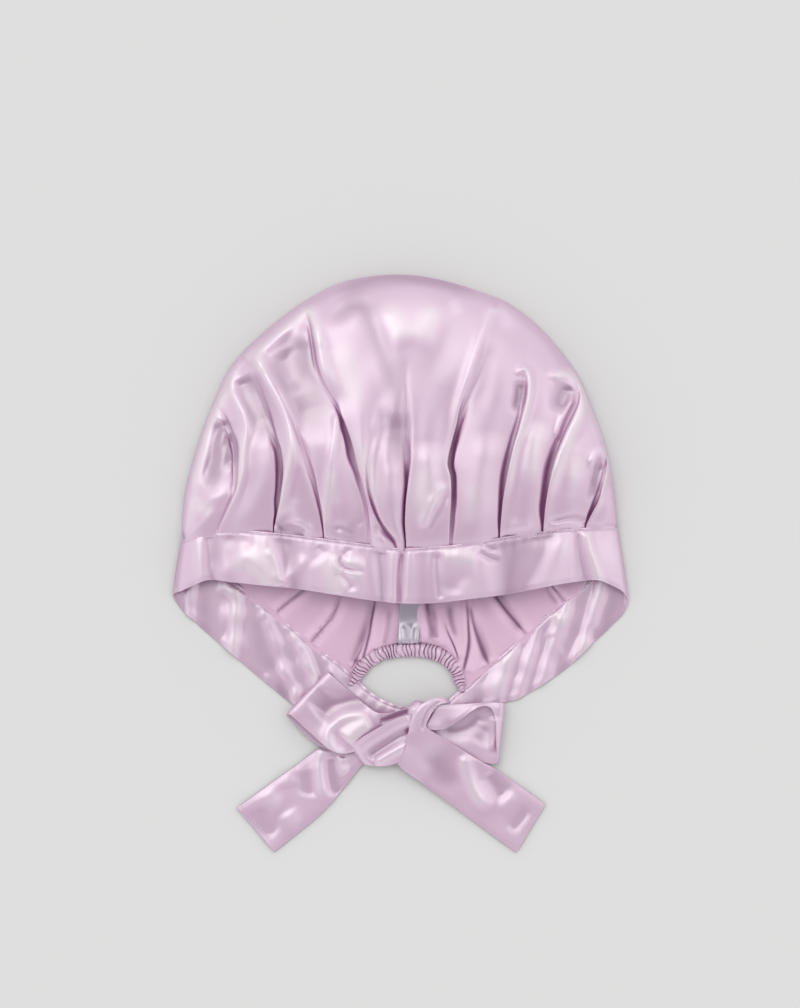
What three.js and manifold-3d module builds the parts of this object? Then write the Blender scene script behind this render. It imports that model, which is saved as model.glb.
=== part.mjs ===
// A satin tie bonnet lying flat on a table, its mouth and bow towards -Y, seen from above.
// Two crown leaves, a brow band, two side bands, a ruched nape casing round its elastic, a
// sewn label, and two ties knotted in a bow. Millimetres, +Z up, the table at zero height.
import * as THREE from "three";
import { mergeVertices } from "three/addons/utils/BufferGeometryUtils.js";
import Module from "manifold-3d";

const wasm = await Module();
wasm.setup();

// The cap
const capWidth = 300; // from one side tip of the mouth to the other
const capLength = 283; // from the crown's top fold to the foot of the side bands
const domeHeight = 31; // the front leaf's highest place
const browHeight = 24; // the brow band's upper face at its middle
const clothThickness = 1; // one layer of crown satin, with the air it holds
const bandThickness = 2; // the band is folded double
const gap = 0.3; // between pieces that touch
const seamGap = 0.5; // between the front leaf and the brow band it is sewn to
const pleatDepth = 5; // the deepest front pleat
const gatherHeight = 2; // folds of the back leaf above its gathered rim

// The ruched casing along the nape and the elastic in it
const casingWidth = 8;
const casingHeight = 5;
const gatherCount = 24;
const ruchShare = 0.16; // how deep the ruching cuts into the casing
const casingClearShare = 0.03; // the casing stops this share of the arc short of the bands
const elasticWidth = 5;
const elasticThickness = 2;

// Sewing
const threadRadius = 0.35;
const hemDepth = 5; // a tail's end hem

// The label sewn above the nape casing
const labelWidth = 14;
const labelLength = 28;
const labelThickness = 0.8;
const labelStitchInset = 2.2; // from its sewn edge to its stitch row

// The ties and their bow
const tieThickness = 1.6;
const knotWidth = 28;
const knotLength = 25;
const knotHeight = 14;
const loopUnder = 3.2; // the loops' lower ply above the table
const loopHeight = 9.5;
const tailRise = 9; // where the right tail comes down from the knot

// Each ribbon of the bow: its length, its width at the knot and at its far end, where it points
// in degrees from +X, and how far its far end is cut or folded off square
const leftLoop = { length: 62, rootWidth: 16, endWidth: 38, turnAngle: 165, skewAngle: 27 };
const rightLoop = { length: 43, rootWidth: 10, endWidth: 40, turnAngle: -19, skewAngle: -13 };
const leftTail = { length: 66, rootWidth: 28, endWidth: 38, turnAngle: 219, skewAngle: -2 };
const rightTail = { length: 90, rootWidth: 33, endWidth: 37, turnAngle: -35, skewAngle: -4 };
const leftTailNeck = { length: 60, rootWidth: 10, turnAngle: 208 };
const rightTailNeck = { length: 24, rootWidth: 12, turnAngle: -70 };
const rightLoopShift = 6.5; // the right loop leaves the knot this far above its middle

// Outlines seen from above, as shares of the cap's width and length
const foldShares = [
  [-0.477, 0.042], [-0.477, 0.11], [-0.464, 0.193], [-0.431, 0.305], [-0.393, 0.408],
  [-0.349, 0.485], [-0.281, 0.552], [-0.2, 0.613], [-0.121, 0.657], [0, 0.674],
  [0.11, 0.657], [0.224, 0.613], [0.297, 0.557], [0.356, 0.487], [0.404, 0.413],
  [0.442, 0.305], [0.466, 0.205], [0.477, 0.119], [0.473, 0.075],
];
const browSeamShares = [
  [-0.477, 0.042], [-0.407, 0.075], [-0.308, 0.077], [-0.176, 0.061], [-0.077, 0.044],
  [0.015, 0.037], [0.088, 0.042], [0.176, 0.051], [0.264, 0.068], [0.352, 0.077],
  [0.418, 0.082], [0.473, 0.075],
];
const browEdgeShares = [
  [-0.499, -0.082], [-0.429, -0.044], [-0.308, -0.047], [-0.154, -0.063], [0, -0.091],
  [0.088, -0.089], [0.198, -0.072], [0.286, -0.063], [0.363, -0.049], [0.435, -0.04],
  [0.501, -0.086],
];
const leftSeamShares = [
  [-0.477, 0.042], [-0.422, 0.002], [-0.363, -0.047], [-0.242, -0.145], [-0.154, -0.217],
  [-0.105, -0.256],
];
const leftEdgeShares = [
  [-0.499, -0.082], [-0.462, -0.119], [-0.407, -0.172], [-0.319, -0.254], [-0.237, -0.326],
];
const rightSeamShares = [
  [0.473, 0.075], [0.446, 0.012], [0.391, -0.063], [0.308, -0.138], [0.22, -0.214],
  [0.141, -0.282],
];
const rightEdgeShares = [
  [0.501, -0.086], [0.488, -0.145], [0.418, -0.203], [0.352, -0.261], [0.286, -0.296],
  [0.22, -0.324],
];
const napeArcShares = [
  [-0.105, -0.256], [-0.081, -0.233], [-0.035, -0.198], [0.02, -0.184], [0.088, -0.198],
  [0.123, -0.233], [0.141, -0.282],
];
const leftTieInnerShares = [[-0.105, -0.256], [-0.075, -0.291], [-0.035, -0.313], [0.011, -0.325]];
const leftTieOuterShares = [[-0.237, -0.326], [-0.176, -0.345], [-0.099, -0.352], [0.011, -0.352]];
const rightTieInnerShares = [[0.141, -0.282], [0.123, -0.308], [0.101, -0.324], [0.066, -0.333]];
const rightTieOuterShares = [[0.22, -0.324], [0.176, -0.35], [0.132, -0.366], [0.066, -0.375]];
const knotShare = [0.037, -0.357];
// Where the tails leave the knot, from its middle, as shares of its width and length
const leftTailShare = [-0.12, -0.21];
const rightTailShare = [-0.07, 0];
const knotSquareShare = 0.8; // below one, the knot is boxier than a ball
const labelShare = 0.019; // the label's middle, as a share of the cap's width
const labelStitchShares = [-0.4, 0, 0.4]; // its stitch row, as shares of its width

// Front pleats: where each leaves the brow seam and where it meets the crown's fold, as shares
// of those lengths; how far it bows aside; and its width, depth and reach
const pleatShares = [
  { rim: 0.085, fold: 0.185, bow: 0.055, wide: 0.026, depth: 0.6, reach: 0.8 },
  { rim: 0.21, fold: 0.25, bow: 0.045, wide: 0.036, depth: 1, reach: 0.95 },
  { rim: 0.327, fold: 0.304, bow: 0.02, wide: 0.036, depth: 0.8, reach: 0.9 },
  { rim: 0.487, fold: 0.38, bow: -0.03, wide: 0.036, depth: 0.9, reach: 0.95 },
  { rim: 0.515, fold: 0.51, bow: 0, wide: 0.014, depth: 0.8, reach: 0.6 },
  { rim: 0.62, fold: 0.626, bow: -0.03, wide: 0.036, depth: 0.9, reach: 0.95 },
  { rim: 0.732, fold: 0.7, bow: -0.02, wide: 0.032, depth: 0.8, reach: 0.7 },
  { rim: 0.83, fold: 0.79, bow: -0.02, wide: 0.032, depth: 0.9, reach: 0.75 },
  { rim: 0.93, fold: 0.858, bow: 0.03, wide: 0.028, depth: 0.8, reach: 0.7 },
];
// A pleat's section: places as shares of its width, heights as shares of its depth
const pleatSectionShares = [[-1, 0.3], [-0.45, -0.25], [0, -1], [0.33, 0.55]];
const pleatSeamShare = 0.5; // a pleat's depth at the seam, as a share of its full depth
const pleatGrowShare = 0.15; // share of its reach over which it deepens
const pleatFadePower = 1.2;
// The smooth cloth between the pleats, as shares of the seam
const smoothShares = [0.03, 0.14, 0.265, 0.385, 0.425, 0.555, 0.67, 0.775, 0.875];
// The back leaf's gathers along its rim, as shares of the rim, and the flat cloth beside them
const gatherShares = [0.2, 0.27, 0.33, 0.39, 0.43, 0.565, 0.61, 0.67, 0.73, 0.8];
const gatherHalfShare = 0.012;
const gatherReachShare = 0.5; // how far a gather runs towards the fold
const flatBackShares = [0.03, 0.07, 0.12, 0.47, 0.5, 0.53, 0.88, 0.93, 0.97];

const satin = { color: 0xd9bfd2, roughness: 0.32, metalness: 0 };
const reverseSatin = { color: 0xc7a6c2, roughness: 0.6, metalness: 0 };
const thread = { color: 0xd2b2cb, roughness: 0.55, metalness: 0 };
const tagSatin = { color: 0xb9afc4, roughness: 0.4, metalness: 0 };
const elasticWeave = { color: 0xe8e4e6, roughness: 0.8, metalness: 0 };

const bonnet = new THREE.Group();

function add(name, geometry, finish) {
  const mesh = new THREE.Mesh(geometry, new THREE.MeshStandardMaterial(finish));
  mesh.name = name;
  bonnet.add(mesh);
  return mesh;
}

// A place seen from above, from its shares of the cap
function plan([across, along]) {
  return new THREE.Vector2(across * capWidth, along * capLength);
}

function outline(shares) {
  return new THREE.SplineCurve(shares.map(plan));
}

// A place beside an outline, on its left as it runs
function beside(curve, share, distance) {
  const along = curve.getTangentAt(share);
  return curve.getPointAt(share).add(new THREE.Vector2(-along.y, along.x).multiplyScalar(distance));
}

function raised(place, height) {
  return new THREE.Vector3(place.x, place.y, height);
}

function smooth(share) {
  const s = Math.min(Math.max(share, 0), 1);
  return s * s * (3 - 2 * s);
}

function steps(count) {
  return Array.from({ length: count + 1 }, (_, i) => i / count);
}

// The height at a share of the way along a list of [share, height] pairs
function between(pairs, share) {
  const next = pairs.findIndex(([at]) => at >= share);
  if (next <= 0) return pairs[next === 0 ? 0 : pairs.length - 1][1];
  const [[fromShare, fromHeight], [toShare, toHeight]] = [pairs[next - 1], pairs[next]];
  return fromHeight + ((toHeight - fromHeight) * (share - fromShare)) / (toShare - fromShare);
}

// Signed volume of an indexed mesh, used to turn its faces outwards
function signedVolume(places, faces) {
  let six = 0;
  for (let i = 0; i < faces.length; i += 3) {
    const [a, b, c] = [places[faces[i]], places[faces[i + 1]], places[faces[i + 2]]];
    six += a.dot(new THREE.Vector3().crossVectors(b, c));
  }
  return six / 6;
}

function closedGeometry(places, faces) {
  const turned = signedVolume(places, faces) < 0 ? faces.slice().reverse() : faces;
  const geometry = new THREE.BufferGeometry().setFromPoints(places);
  geometry.setIndex(turned);
  geometry.computeVertexNormals();
  return geometry;
}

function quad(faces, a, b, c, d) {
  faces.push(a, b, c, a, c, d);
}

// The outward direction of a grid of places at one of them
function gridNormal(grid, i, j) {
  const iNext = Math.min(i + 1, grid.length - 1);
  const jNext = Math.min(j + 1, grid[0].length - 1);
  const alongGrid = grid[iNext][j].clone().sub(grid[Math.max(i - 1, 0)][j]);
  const acrossGrid = grid[i][jNext].clone().sub(grid[i][Math.max(j - 1, 0)]);
  return alongGrid.cross(acrossGrid).normalize();
}

// Cloth of one thickness under a grid of places on its outer face, never below a floor
function clothSolid(grid, thickness, floor) {
  const under = grid.map((line, i) =>
    line.map((place, j) => {
      const inner = place.clone().addScaledVector(gridNormal(grid, i, j), -thickness);
      inner.z = Math.max(inner.z, floor);
      return inner;
    }),
  );
  const lines = grid.length;
  const places = grid[0].length;
  const faces = [];
  const top = (i, j) => i * places + j;
  const low = (i, j) => lines * places + i * places + j;
  for (let i = 0; i < lines - 1; i++) {
    for (let j = 0; j < places - 1; j++) {
      quad(faces, top(i, j), top(i + 1, j), top(i + 1, j + 1), top(i, j + 1));
      quad(faces, low(i, j), low(i, j + 1), low(i + 1, j + 1), low(i + 1, j));
    }
    quad(faces, low(i, 0), low(i + 1, 0), top(i + 1, 0), top(i, 0));
    quad(faces, top(i, places - 1), top(i + 1, places - 1), low(i + 1, places - 1), low(i, places - 1));
  }
  for (let j = 0; j < places - 1; j++) {
    quad(faces, top(0, j), top(0, j + 1), low(0, j + 1), low(0, j));
    quad(faces, low(lines - 1, j), low(lines - 1, j + 1), top(lines - 1, j + 1), top(lines - 1, j));
  }
  return closedGeometry([...grid.flat(), ...under.flat()], faces);
}

// A convex section carried along a line of places: sectionAt(i) lists [across, up] pairs
function sweptSolid(line, sectionAt) {
  const places = [];
  const faces = [];
  line.forEach((place, i) => {
    const ahead = line[Math.min(i + 1, line.length - 1)];
    const behind = line[Math.max(i - 1, 0)];
    const along = ahead.clone().sub(behind).normalize();
    const across = new THREE.Vector3(along.y, -along.x, 0).normalize();
    const up = new THREE.Vector3().crossVectors(across, along);
    for (const [sideways, upwards] of sectionAt(i))
      places.push(place.clone().addScaledVector(across, sideways).addScaledVector(up, upwards));
  });
  const sides = sectionAt(0).length;
  for (let i = 0; i < line.length - 1; i++)
    for (let k = 0; k < sides; k++) {
      const next = (k + 1) % sides;
      quad(faces, i * sides + k, i * sides + next, (i + 1) * sides + next, (i + 1) * sides + k);
    }
  const last = (line.length - 1) * sides;
  for (let k = 1; k < sides - 1; k++) {
    faces.push(0, k + 1, k);
    faces.push(last, last + k, last + k + 1);
  }
  return closedGeometry(places, faces);
}

function roundSection(halfWidth, halfHeight, sides) {
  return steps(sides)
    .slice(1)
    .map((share) => {
      const turn = share * 2 * Math.PI;
      return [halfWidth * Math.cos(turn), halfHeight * Math.sin(turn)];
    });
}

const threadSides = 5;

// Sewing thread laid along a row of places, clear of the cloth under them
function threadSolid(line) {
  const clear = threadRadius + gap;
  const laid = line.map((place) => place.clone().setZ(place.z + clear));
  return sweptSolid(laid, () => roundSection(threadRadius, threadRadius, threadSides));
}

function toManifold(geometry) {
  const bare = geometry.clone();
  bare.deleteAttribute("normal");
  bare.deleteAttribute("uv");
  const merged = mergeVertices(bare);
  const vertProperties = new Float32Array(merged.attributes.position.array);
  const triVerts = new Uint32Array(merged.index.array);
  return new wasm.Manifold(new wasm.Mesh({ numProp: 3, vertProperties, triVerts }));
}

function cutAway(geometry, cutters) {
  let left = toManifold(geometry);
  for (const cutter of cutters) left = left.subtract(toManifold(cutter));
  const mesh = left.getMesh();
  const result = new THREE.BufferGeometry();
  result.setAttribute("position", new THREE.BufferAttribute(mesh.vertProperties, mesh.numProp));
  result.setIndex(new THREE.BufferAttribute(mesh.triVerts, 1));
  result.computeVertexNormals();
  return result;
}

// The front of the cap rises from its side tips to the middle
const tipTop = 2 * bandThickness + gap;
const archPower = 2.4; // above two, the front stays high nearer its sides
const archRoot = 0.6;

function archShare(across) {
  return Math.pow(1 - Math.pow(Math.abs(2 * across - 1), archPower), archRoot);
}

function browTop(across) {
  return tipTop + (browHeight - tipTop) * archShare(across);
}

// Crown, front leaf: lines of places from the brow seam up to the fold round the crown
const crownFold = outline(foldShares);
const browSeam = outline(browSeamShares);
const cornerShare = 0.006; // the leaf's corners stop this short of the side tips
const leafTopShare = 0.42; // share of a line where the leaf is highest
const foldPower = 2.2; // above two, the leaf turns down late and steeply at the fold
const frontRowShares = [0, 0.05, 0.12, 0.2, 0.3, 0.42, 0.55, 0.68, 0.8, 0.9, 0.965, 1];

function pleatColumns() {
  const smoothRims = [cornerShare, ...smoothShares, 1 - cornerShare];
  const columns = smoothRims.map((rim) => ({ rim, lift: () => 0 }));
  for (const pleat of pleatShares)
    for (const [place, height] of pleatSectionShares)
      columns.push({
        rim: pleat.rim + place * pleat.wide,
        lift: (along) => {
          const share = Math.min(along / pleat.reach, 1);
          const grown = pleatSeamShare + (1 - pleatSeamShare) * smooth(share / pleatGrowShare);
          return height * pleat.depth * pleatDepth * grown * Math.pow(1 - share, pleatFadePower);
        },
      });
  return columns.sort((a, b) => a.rim - b.rim);
}

const foldPairs = [[0, 0], ...pleatShares.map((pleat) => [pleat.rim, pleat.fold]), [1, 1]];
const bowPairs = [[0, 0], ...pleatShares.map((pleat) => [pleat.rim, pleat.bow]), [1, 0]];

function frontHeight(across, along) {
  const rim = browTop(across);
  const top = tipTop + (domeHeight - tipTop) * archShare(across);
  if (along < leafTopShare) return rim + (top - rim) * smooth(along / leafTopShare);
  const share = (along - leafTopShare) / (1 - leafTopShare);
  const foldLevel = clothThickness + gap;
  return foldLevel + (top - foldLevel) * Math.sqrt(1 - Math.pow(share, foldPower));
}

function frontPlace(column, along) {
  const root = beside(browSeam, column.rim, seamGap);
  const tip = crownFold.getPointAt(between(foldPairs, column.rim));
  const place = root.clone().lerp(tip, along);
  place.x += 4 * along * (1 - along) * between(bowPairs, column.rim) * capWidth;
  return raised(place, frontHeight(column.rim, along) + column.lift(along));
}

const frontGrid = pleatColumns().map((column) =>
  frontRowShares.map((along) => frontPlace(column, along)),
);
add("crown_front", clothSolid(frontGrid, clothThickness, clothThickness + gap), satin);

// Crown, back leaf: flat on the table, gathered above the nape
const leftSeam = outline(leftSeamShares);
const rightSeam = outline(rightSeamShares);
const napeArc = outline(napeArcShares);
const arcStartShare = 0.38; // the nape arc's part of the rim
const arcEndShare = 0.62;
const backRowShares = [0, 0.01, 0.05, 0.12, 0.22, 0.35, 0.52, 0.7, 0.86, 0.95, 1];
const stitchRow = 1;

function backRim(across) {
  if (across < arcStartShare) return leftSeam.getPointAt(across / arcStartShare);
  if (across > arcEndShare) return rightSeam.getPointAt((1 - across) / (1 - arcEndShare));
  return napeArc.getPointAt((across - arcStartShare) / (arcEndShare - arcStartShare));
}

const gatherSides = gatherShares.flatMap((at) => [at - gatherHalfShare, at + gatherHalfShare]);
const rimEnds = [cornerShare, arcStartShare, arcEndShare, 1 - cornerShare];
const backColumns = [...rimEnds, ...flatBackShares, ...gatherShares, ...gatherSides];
backColumns.sort((a, b) => a - b);

function backPlace(across, along) {
  const place = backRim(across).lerp(crownFold.getPointAt(across), along);
  const fold = gatherShares.includes(across) ? gatherHeight : 0;
  return raised(place, clothThickness + fold * (1 - smooth(along / gatherReachShare)));
}

const backGrid = backColumns.map((across) =>
  backRowShares.map((along) => backPlace(across, along)),
);
add("crown_back", clothSolid(backGrid, clothThickness, 0), reverseSatin);

// Brow band: one folded strip from tip to tip, sewn to the front leaf
const browEdge = outline(browEdgeShares);
const browDroopShare = 0.06; // how far the free edge lies lower than the seam
const browLines = 36;
const browRowShares = [0, 0.3, 0.65, 0.94, 1];
const browStitchRow = 3;
const browGrid = steps(browLines).map((across) =>
  browRowShares.map((up) => {
    const place = browEdge.getPointAt(across).lerp(browSeam.getPointAt(across), up);
    const drop = (browTop(across) - tipTop) * browDroopShare * (1 - up);
    return raised(place, browTop(across) - drop);
  }),
);
add("brow_band", clothSolid(browGrid, bandThickness, bandThickness + gap), satin);

// Side bands: from the tips along the back leaf to the nape, flat on the table. Each strip's
// places run from its seam to its free edge, kept clear of the seam.
function flatStrip(seam, edge, columns, rows, top, clear) {
  return columns.map((along) => {
    const start = seam.getPointAt(along);
    const end = edge.getPointAt(along);
    const inset = clear / start.distanceTo(end);
    return rows.map((across) => raised(start.clone().lerp(end, inset + (1 - inset) * across), top));
  });
}

function facingUp(grid) {
  return gridNormal(grid, 0, 0).z > 0 ? grid : grid.slice().reverse();
}

const leftEdge = outline(leftEdgeShares);
const rightEdge = outline(rightEdgeShares);
const sideLines = 14;
const sideRowShares = [0, 0.06, 0.35, 0.7, 1];
const sideStitchRow = 1;
const tipLines = 2; // lines of a side band that the brow band lies on
const sideColumns = steps(sideLines);
const leftGrid = flatStrip(leftSeam, leftEdge, sideColumns, sideRowShares, bandThickness, gap);
const rightGrid = flatStrip(rightSeam, rightEdge, sideColumns, sideRowShares, bandThickness, gap);
add("left_side_band", clothSolid(facingUp(leftGrid), bandThickness, 0), satin);
add("right_side_band", clothSolid(facingUp(rightGrid), bandThickness, 0), satin);

// Nape casing: a ruched tube along the gathered edge, with the elastic in its bore
const tubeSides = 8;
const arcLine = steps(2 * gatherCount).map((along) => {
  const share = casingClearShare + (1 - 2 * casingClearShare) * along;
  return raised(beside(napeArc, share, -(casingWidth / 2 + gap)), casingHeight / 2);
});
const ruchedSection = (i) => {
  const full = i % 2 === 0 ? 1 : 1 - ruchShare;
  return roundSection((casingWidth / 2) * full, (casingHeight / 2) * full, tubeSides);
};
const beforeArc = arcLine[0].clone().lerp(arcLine[1], -1);
const afterArc = arcLine.at(-1).clone().lerp(arcLine.at(-2), -1);
const boreLine = [beforeArc, ...arcLine, afterArc];
const boreSection = () =>
  roundSection(elasticWidth / 2 + gap, elasticThickness / 2 + gap, tubeSides);
const elasticSection = () => roundSection(elasticWidth / 2, elasticThickness / 2, tubeSides);
const bandCutters = [
  [leftSeam, leftEdge],
  [rightSeam, rightEdge],
].map(([seam, edge]) => {
  const grid = flatStrip(seam, edge, sideColumns, [0, 1], casingHeight + gap, 0);
  return clothSolid(facingUp(grid), casingHeight + 2 * gap, -gap);
});
const casingTube = sweptSolid(arcLine, ruchedSection);
add("nape_casing", cutAway(casingTube, [sweptSolid(boreLine, boreSection), ...bandCutters]), satin);
add("nape_elastic", cutAway(sweptSolid(arcLine, elasticSection), bandCutters), elasticWeave);

// Ties: from the side bands' ends to the knot
const knotPlace = plan(knotShare);
const tieLines = 10;
const tieRowShares = [0, 0.33, 0.67, 1];
const knotLines = { around: 20, up: 12 };

function knotSolid(clear) {
  const ball = new THREE.SphereGeometry(1, knotLines.around, knotLines.up);
  const places = ball.attributes.position;
  const square = (value) => Math.sign(value) * Math.pow(Math.abs(value), knotSquareShare);
  for (let i = 0; i < places.count; i++)
    places.setXYZ(
      i,
      knotPlace.x + square(places.getX(i)) * (knotWidth / 2 + clear),
      knotPlace.y + square(places.getY(i)) * (knotLength / 2 + clear),
      knotHeight / 2 + square(places.getZ(i)) * (knotHeight / 2 + clear),
    );
  ball.deleteAttribute("normal");
  ball.deleteAttribute("uv");
  return mergeVertices(ball);
}

const knotClearance = knotSolid(gap);
add("bow_knot", knotSolid(0), satin);

for (const [name, innerShares, outerShares] of [
  ["left_tie", leftTieInnerShares, leftTieOuterShares],
  ["right_tie", rightTieInnerShares, rightTieOuterShares],
]) {
  const inner = outline(innerShares);
  const clearOfBand = gap / inner.getLength();
  const columns = steps(tieLines).map((along) => clearOfBand + (1 - clearOfBand) * along);
  const grid = flatStrip(inner, outline(outerShares), columns, tieRowShares, tieThickness, 0);
  add(name, cutAway(clothSolid(facingUp(grid), tieThickness, 0), [knotClearance]), satin);
}

// The bow's ribbons: a grid of places from the knot outwards. The profile lists how far along
// each line of places lies, as a share of the length, and its height.
const ribbonRowShares = [0, 0.25, 0.5, 0.75, 1];

function heading(degrees) {
  const turn = THREE.MathUtils.degToRad(degrees);
  return new THREE.Vector2(Math.cos(turn), Math.sin(turn));
}

function ribbonGrid(ribbon, root, profile) {
  const ahead = heading(ribbon.turnAngle);
  const aside = new THREE.Vector2(-ahead.y, ahead.x);
  const slant = Math.tan(THREE.MathUtils.degToRad(ribbon.skewAngle));
  return profile.map(([along, height]) => {
    const width = ribbon.rootWidth + (ribbon.endWidth - ribbon.rootWidth) * along;
    return ribbonRowShares.map((row) => {
      const sideways = (row - 0.5) * width;
      const forward = along * ribbon.length + sideways * slant * along * along;
      const place = root.clone().addScaledVector(ahead, forward).addScaledVector(aside, sideways);
      return raised(place, height);
    });
  });
}

// How far the knot reaches from its middle towards a heading
function knotReach(ahead) {
  const places = knotSolid(0).attributes.position;
  let reach = 0;
  for (let i = 0; i < places.count; i++) {
    const fromMiddle = new THREE.Vector2(places.getX(i), places.getY(i)).sub(knotPlace);
    reach = Math.max(reach, fromMiddle.dot(ahead));
  }
  return reach;
}

function fromKnot(turn, shift) {
  const ahead = heading(turn);
  const aside = new THREE.Vector2(-ahead.y, ahead.x);
  const root = knotPlace.clone().addScaledVector(ahead, knotReach(ahead) + gap);
  return root.addScaledVector(aside, shift);
}

function fromKnotShares([across, along]) {
  return knotPlace.clone().add(new THREE.Vector2(across * knotWidth, along * knotLength));
}

// A loop's section seen from the side: out along the upper ply, round, and back underneath
const loopShares = [
  [0, 0.8], [0.15, 0.88], [0.35, 0.95], [0.6, 1], [0.8, 0.96], [0.93, 0.84], [0.985, 0.66],
  [1, 0.48], [0.985, 0.3], [0.93, 0.12], [0.8, 0.02], [0.6, 0], [0.35, 0.04], [0.15, 0.12],
  [0, 0.2],
];
const loopProfile = loopShares.map(([along, height]) => [along, loopUnder + height * loopHeight]);
for (const [name, loop, shift] of [
  ["bow_left_loop", leftLoop, 0],
  ["bow_right_loop", rightLoop, rightLoopShift],
]) {
  const grid = ribbonGrid(loop, fromKnot(loop.turnAngle, shift), loopProfile);
  add(name, clothSolid(grid, tieThickness, loopUnder), satin);
}

// The tails: a short neck from the knot, then the tail that lifts, with its hem stitched across
function tailAfter(neck, tail, neckRoot, neckProfile, tailProfile) {
  const skewAngle = neck.turnAngle - tail.turnAngle;
  const neckGrid = ribbonGrid({ ...neck, endWidth: tail.rootWidth, skewAngle }, neckRoot, neckProfile);
  const start = neckRoot.clone().addScaledVector(heading(neck.turnAngle), neck.length);
  start.addScaledVector(heading(tail.turnAngle), gap);
  const hemShare = 1 - hemDepth / tail.length;
  const beforeHem = tailProfile.filter(([along]) => along < hemShare);
  const profile = [...beforeHem, [hemShare, tieThickness], [1, tieThickness]];
  return { neckGrid, tailGrid: ribbonGrid(tail, start, profile) };
}

const flatShares = [0, 0.17, 0.34, 0.5, 0.67, 0.84, 1];
const flatProfile = flatShares.map((along) => [along, tieThickness]);
const overKnot = knotHeight + gap + tieThickness;
// How the right tail comes down: over the knot's edge, and then to the table
const neckFallShares = [[0, 1], [0.3, 0.97], [0.55, 0.72], [0.8, 0.25], [1, 0]];
const tailFallShares = [
  [0, 1], [0.1, 0.95], [0.22, 0.78], [0.35, 0.5], [0.47, 0.24], [0.6, 0.06], [0.72, 0], [0.85, 0],
];
const falling = (shares, from, to) => shares.map(([along, height]) => [along, to + height * (from - to)]);
const leftRoot = fromKnotShares(leftTailShare);
const rightRoot = fromKnotShares(rightTailShare);
const rightNeckProfile = falling(neckFallShares, overKnot, tailRise);
const rightTailProfile = falling(tailFallShares, tailRise, tieThickness);
const leftPieces = tailAfter(leftTailNeck, leftTail, leftRoot, flatProfile, flatProfile);
const rightPieces = tailAfter(rightTailNeck, rightTail, rightRoot, rightNeckProfile, rightTailProfile);
for (const [side, { neckGrid, tailGrid }] of [["left", leftPieces], ["right", rightPieces]]) {
  add(side + "_tail_neck", cutAway(clothSolid(neckGrid, tieThickness, 0), [knotClearance]), satin);
  add(side + "_tail", clothSolid(tailGrid, tieThickness, 0), satin);
  add(side + "_hem_thread", threadSolid(tailGrid.at(-2)), thread);
}

// The label, sewn by one edge above the nape casing's stitch row
const labelUnder = clothThickness + gap;
const labelPlace = backPlace((arcStartShare + arcEndShare) / 2, backRowShares[stitchRow]);
const labelRoot = labelPlace.y + 2 * threadRadius + gap;
const labelMiddle = labelShare * capWidth;
const labelBody = new THREE.BoxGeometry(labelWidth, labelLength, labelThickness);
labelBody.translate(labelMiddle, labelRoot + labelLength / 2, labelUnder + labelThickness / 2);
add("sewn_label", labelBody, tagSatin);
const labelStitch = labelStitchShares.map((share) => {
  const across = labelMiddle + share * labelWidth;
  return new THREE.Vector3(across, labelRoot + labelStitchInset, labelUnder + labelThickness);
});
add("label_thread", threadSolid(labelStitch), thread);

// Seam threads
const onArc = (across) => across > arcStartShare && across < arcEndShare;
for (const [name, lines, row] of [
  ["brow_seam_thread", browGrid.slice(1, -1), browStitchRow],
  ["left_seam_thread", leftGrid.slice(tipLines), sideStitchRow],
  ["right_seam_thread", rightGrid.slice(tipLines), sideStitchRow],
  ["nape_thread", backGrid.filter((line, i) => onArc(backColumns[i])), stitchRow],
])
  add(name, threadSolid(lines.map((line) => line[row])), thread);

export default bonnet;
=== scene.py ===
# Satin tie bonnet lying flat with its mouth open towards -Y and its ties in a bow
import bmesh
import bpy
import math
import numpy as np
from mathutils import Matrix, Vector


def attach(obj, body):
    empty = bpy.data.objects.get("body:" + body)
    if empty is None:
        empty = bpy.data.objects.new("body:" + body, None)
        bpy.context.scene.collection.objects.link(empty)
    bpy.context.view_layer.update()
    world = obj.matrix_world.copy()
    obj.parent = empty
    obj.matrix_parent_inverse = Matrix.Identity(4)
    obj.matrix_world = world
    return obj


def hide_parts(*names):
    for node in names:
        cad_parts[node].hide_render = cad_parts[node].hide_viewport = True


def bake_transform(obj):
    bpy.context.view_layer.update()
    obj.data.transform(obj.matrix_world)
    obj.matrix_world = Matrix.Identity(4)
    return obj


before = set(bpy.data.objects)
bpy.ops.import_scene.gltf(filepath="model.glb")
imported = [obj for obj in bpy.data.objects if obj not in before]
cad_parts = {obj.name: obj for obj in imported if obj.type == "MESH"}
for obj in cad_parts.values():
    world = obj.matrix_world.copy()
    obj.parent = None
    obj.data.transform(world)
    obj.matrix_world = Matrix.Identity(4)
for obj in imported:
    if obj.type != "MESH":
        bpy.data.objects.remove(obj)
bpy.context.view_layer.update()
mm = 0.001
tiny = 1e-6
curveSteps = 400

# How a pixel of the photograph lies on the table, in mm: the camera looks straight down
photo = {"width": 800, "height": 1008, "pixel": 0.66, "originX": 400, "originY": 563, "cameraHeight": 3000}


def at(px, py):  # the place of a pixel, in mm
    x = (np.asarray(px, float) - photo["originX"]) * photo["pixel"]
    y = (photo["originY"] - np.asarray(py, float)) * photo["pixel"]
    return np.stack([x, y], axis=-1)


def traced(points):  # the places of a list of pixels
    return at(*np.array(points, float).T)


def smooth(share):
    s = np.clip(share, 0, 1)
    return s * s * (3 - 2 * s)


def ease(pairs, share):  # smooth steps between [share, value] pairs
    places, values = zip(*pairs)
    share = np.clip(np.asarray(share, float), places[0], places[-1])
    k = np.clip(np.searchsorted(places, share, side="right") - 1, 0, len(places) - 2)
    places, values = np.array(places, float), np.array(values, float)
    return values[k] + (values[k + 1] - values[k]) * smooth((share - places[k]) / (places[k + 1] - places[k]))


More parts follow.
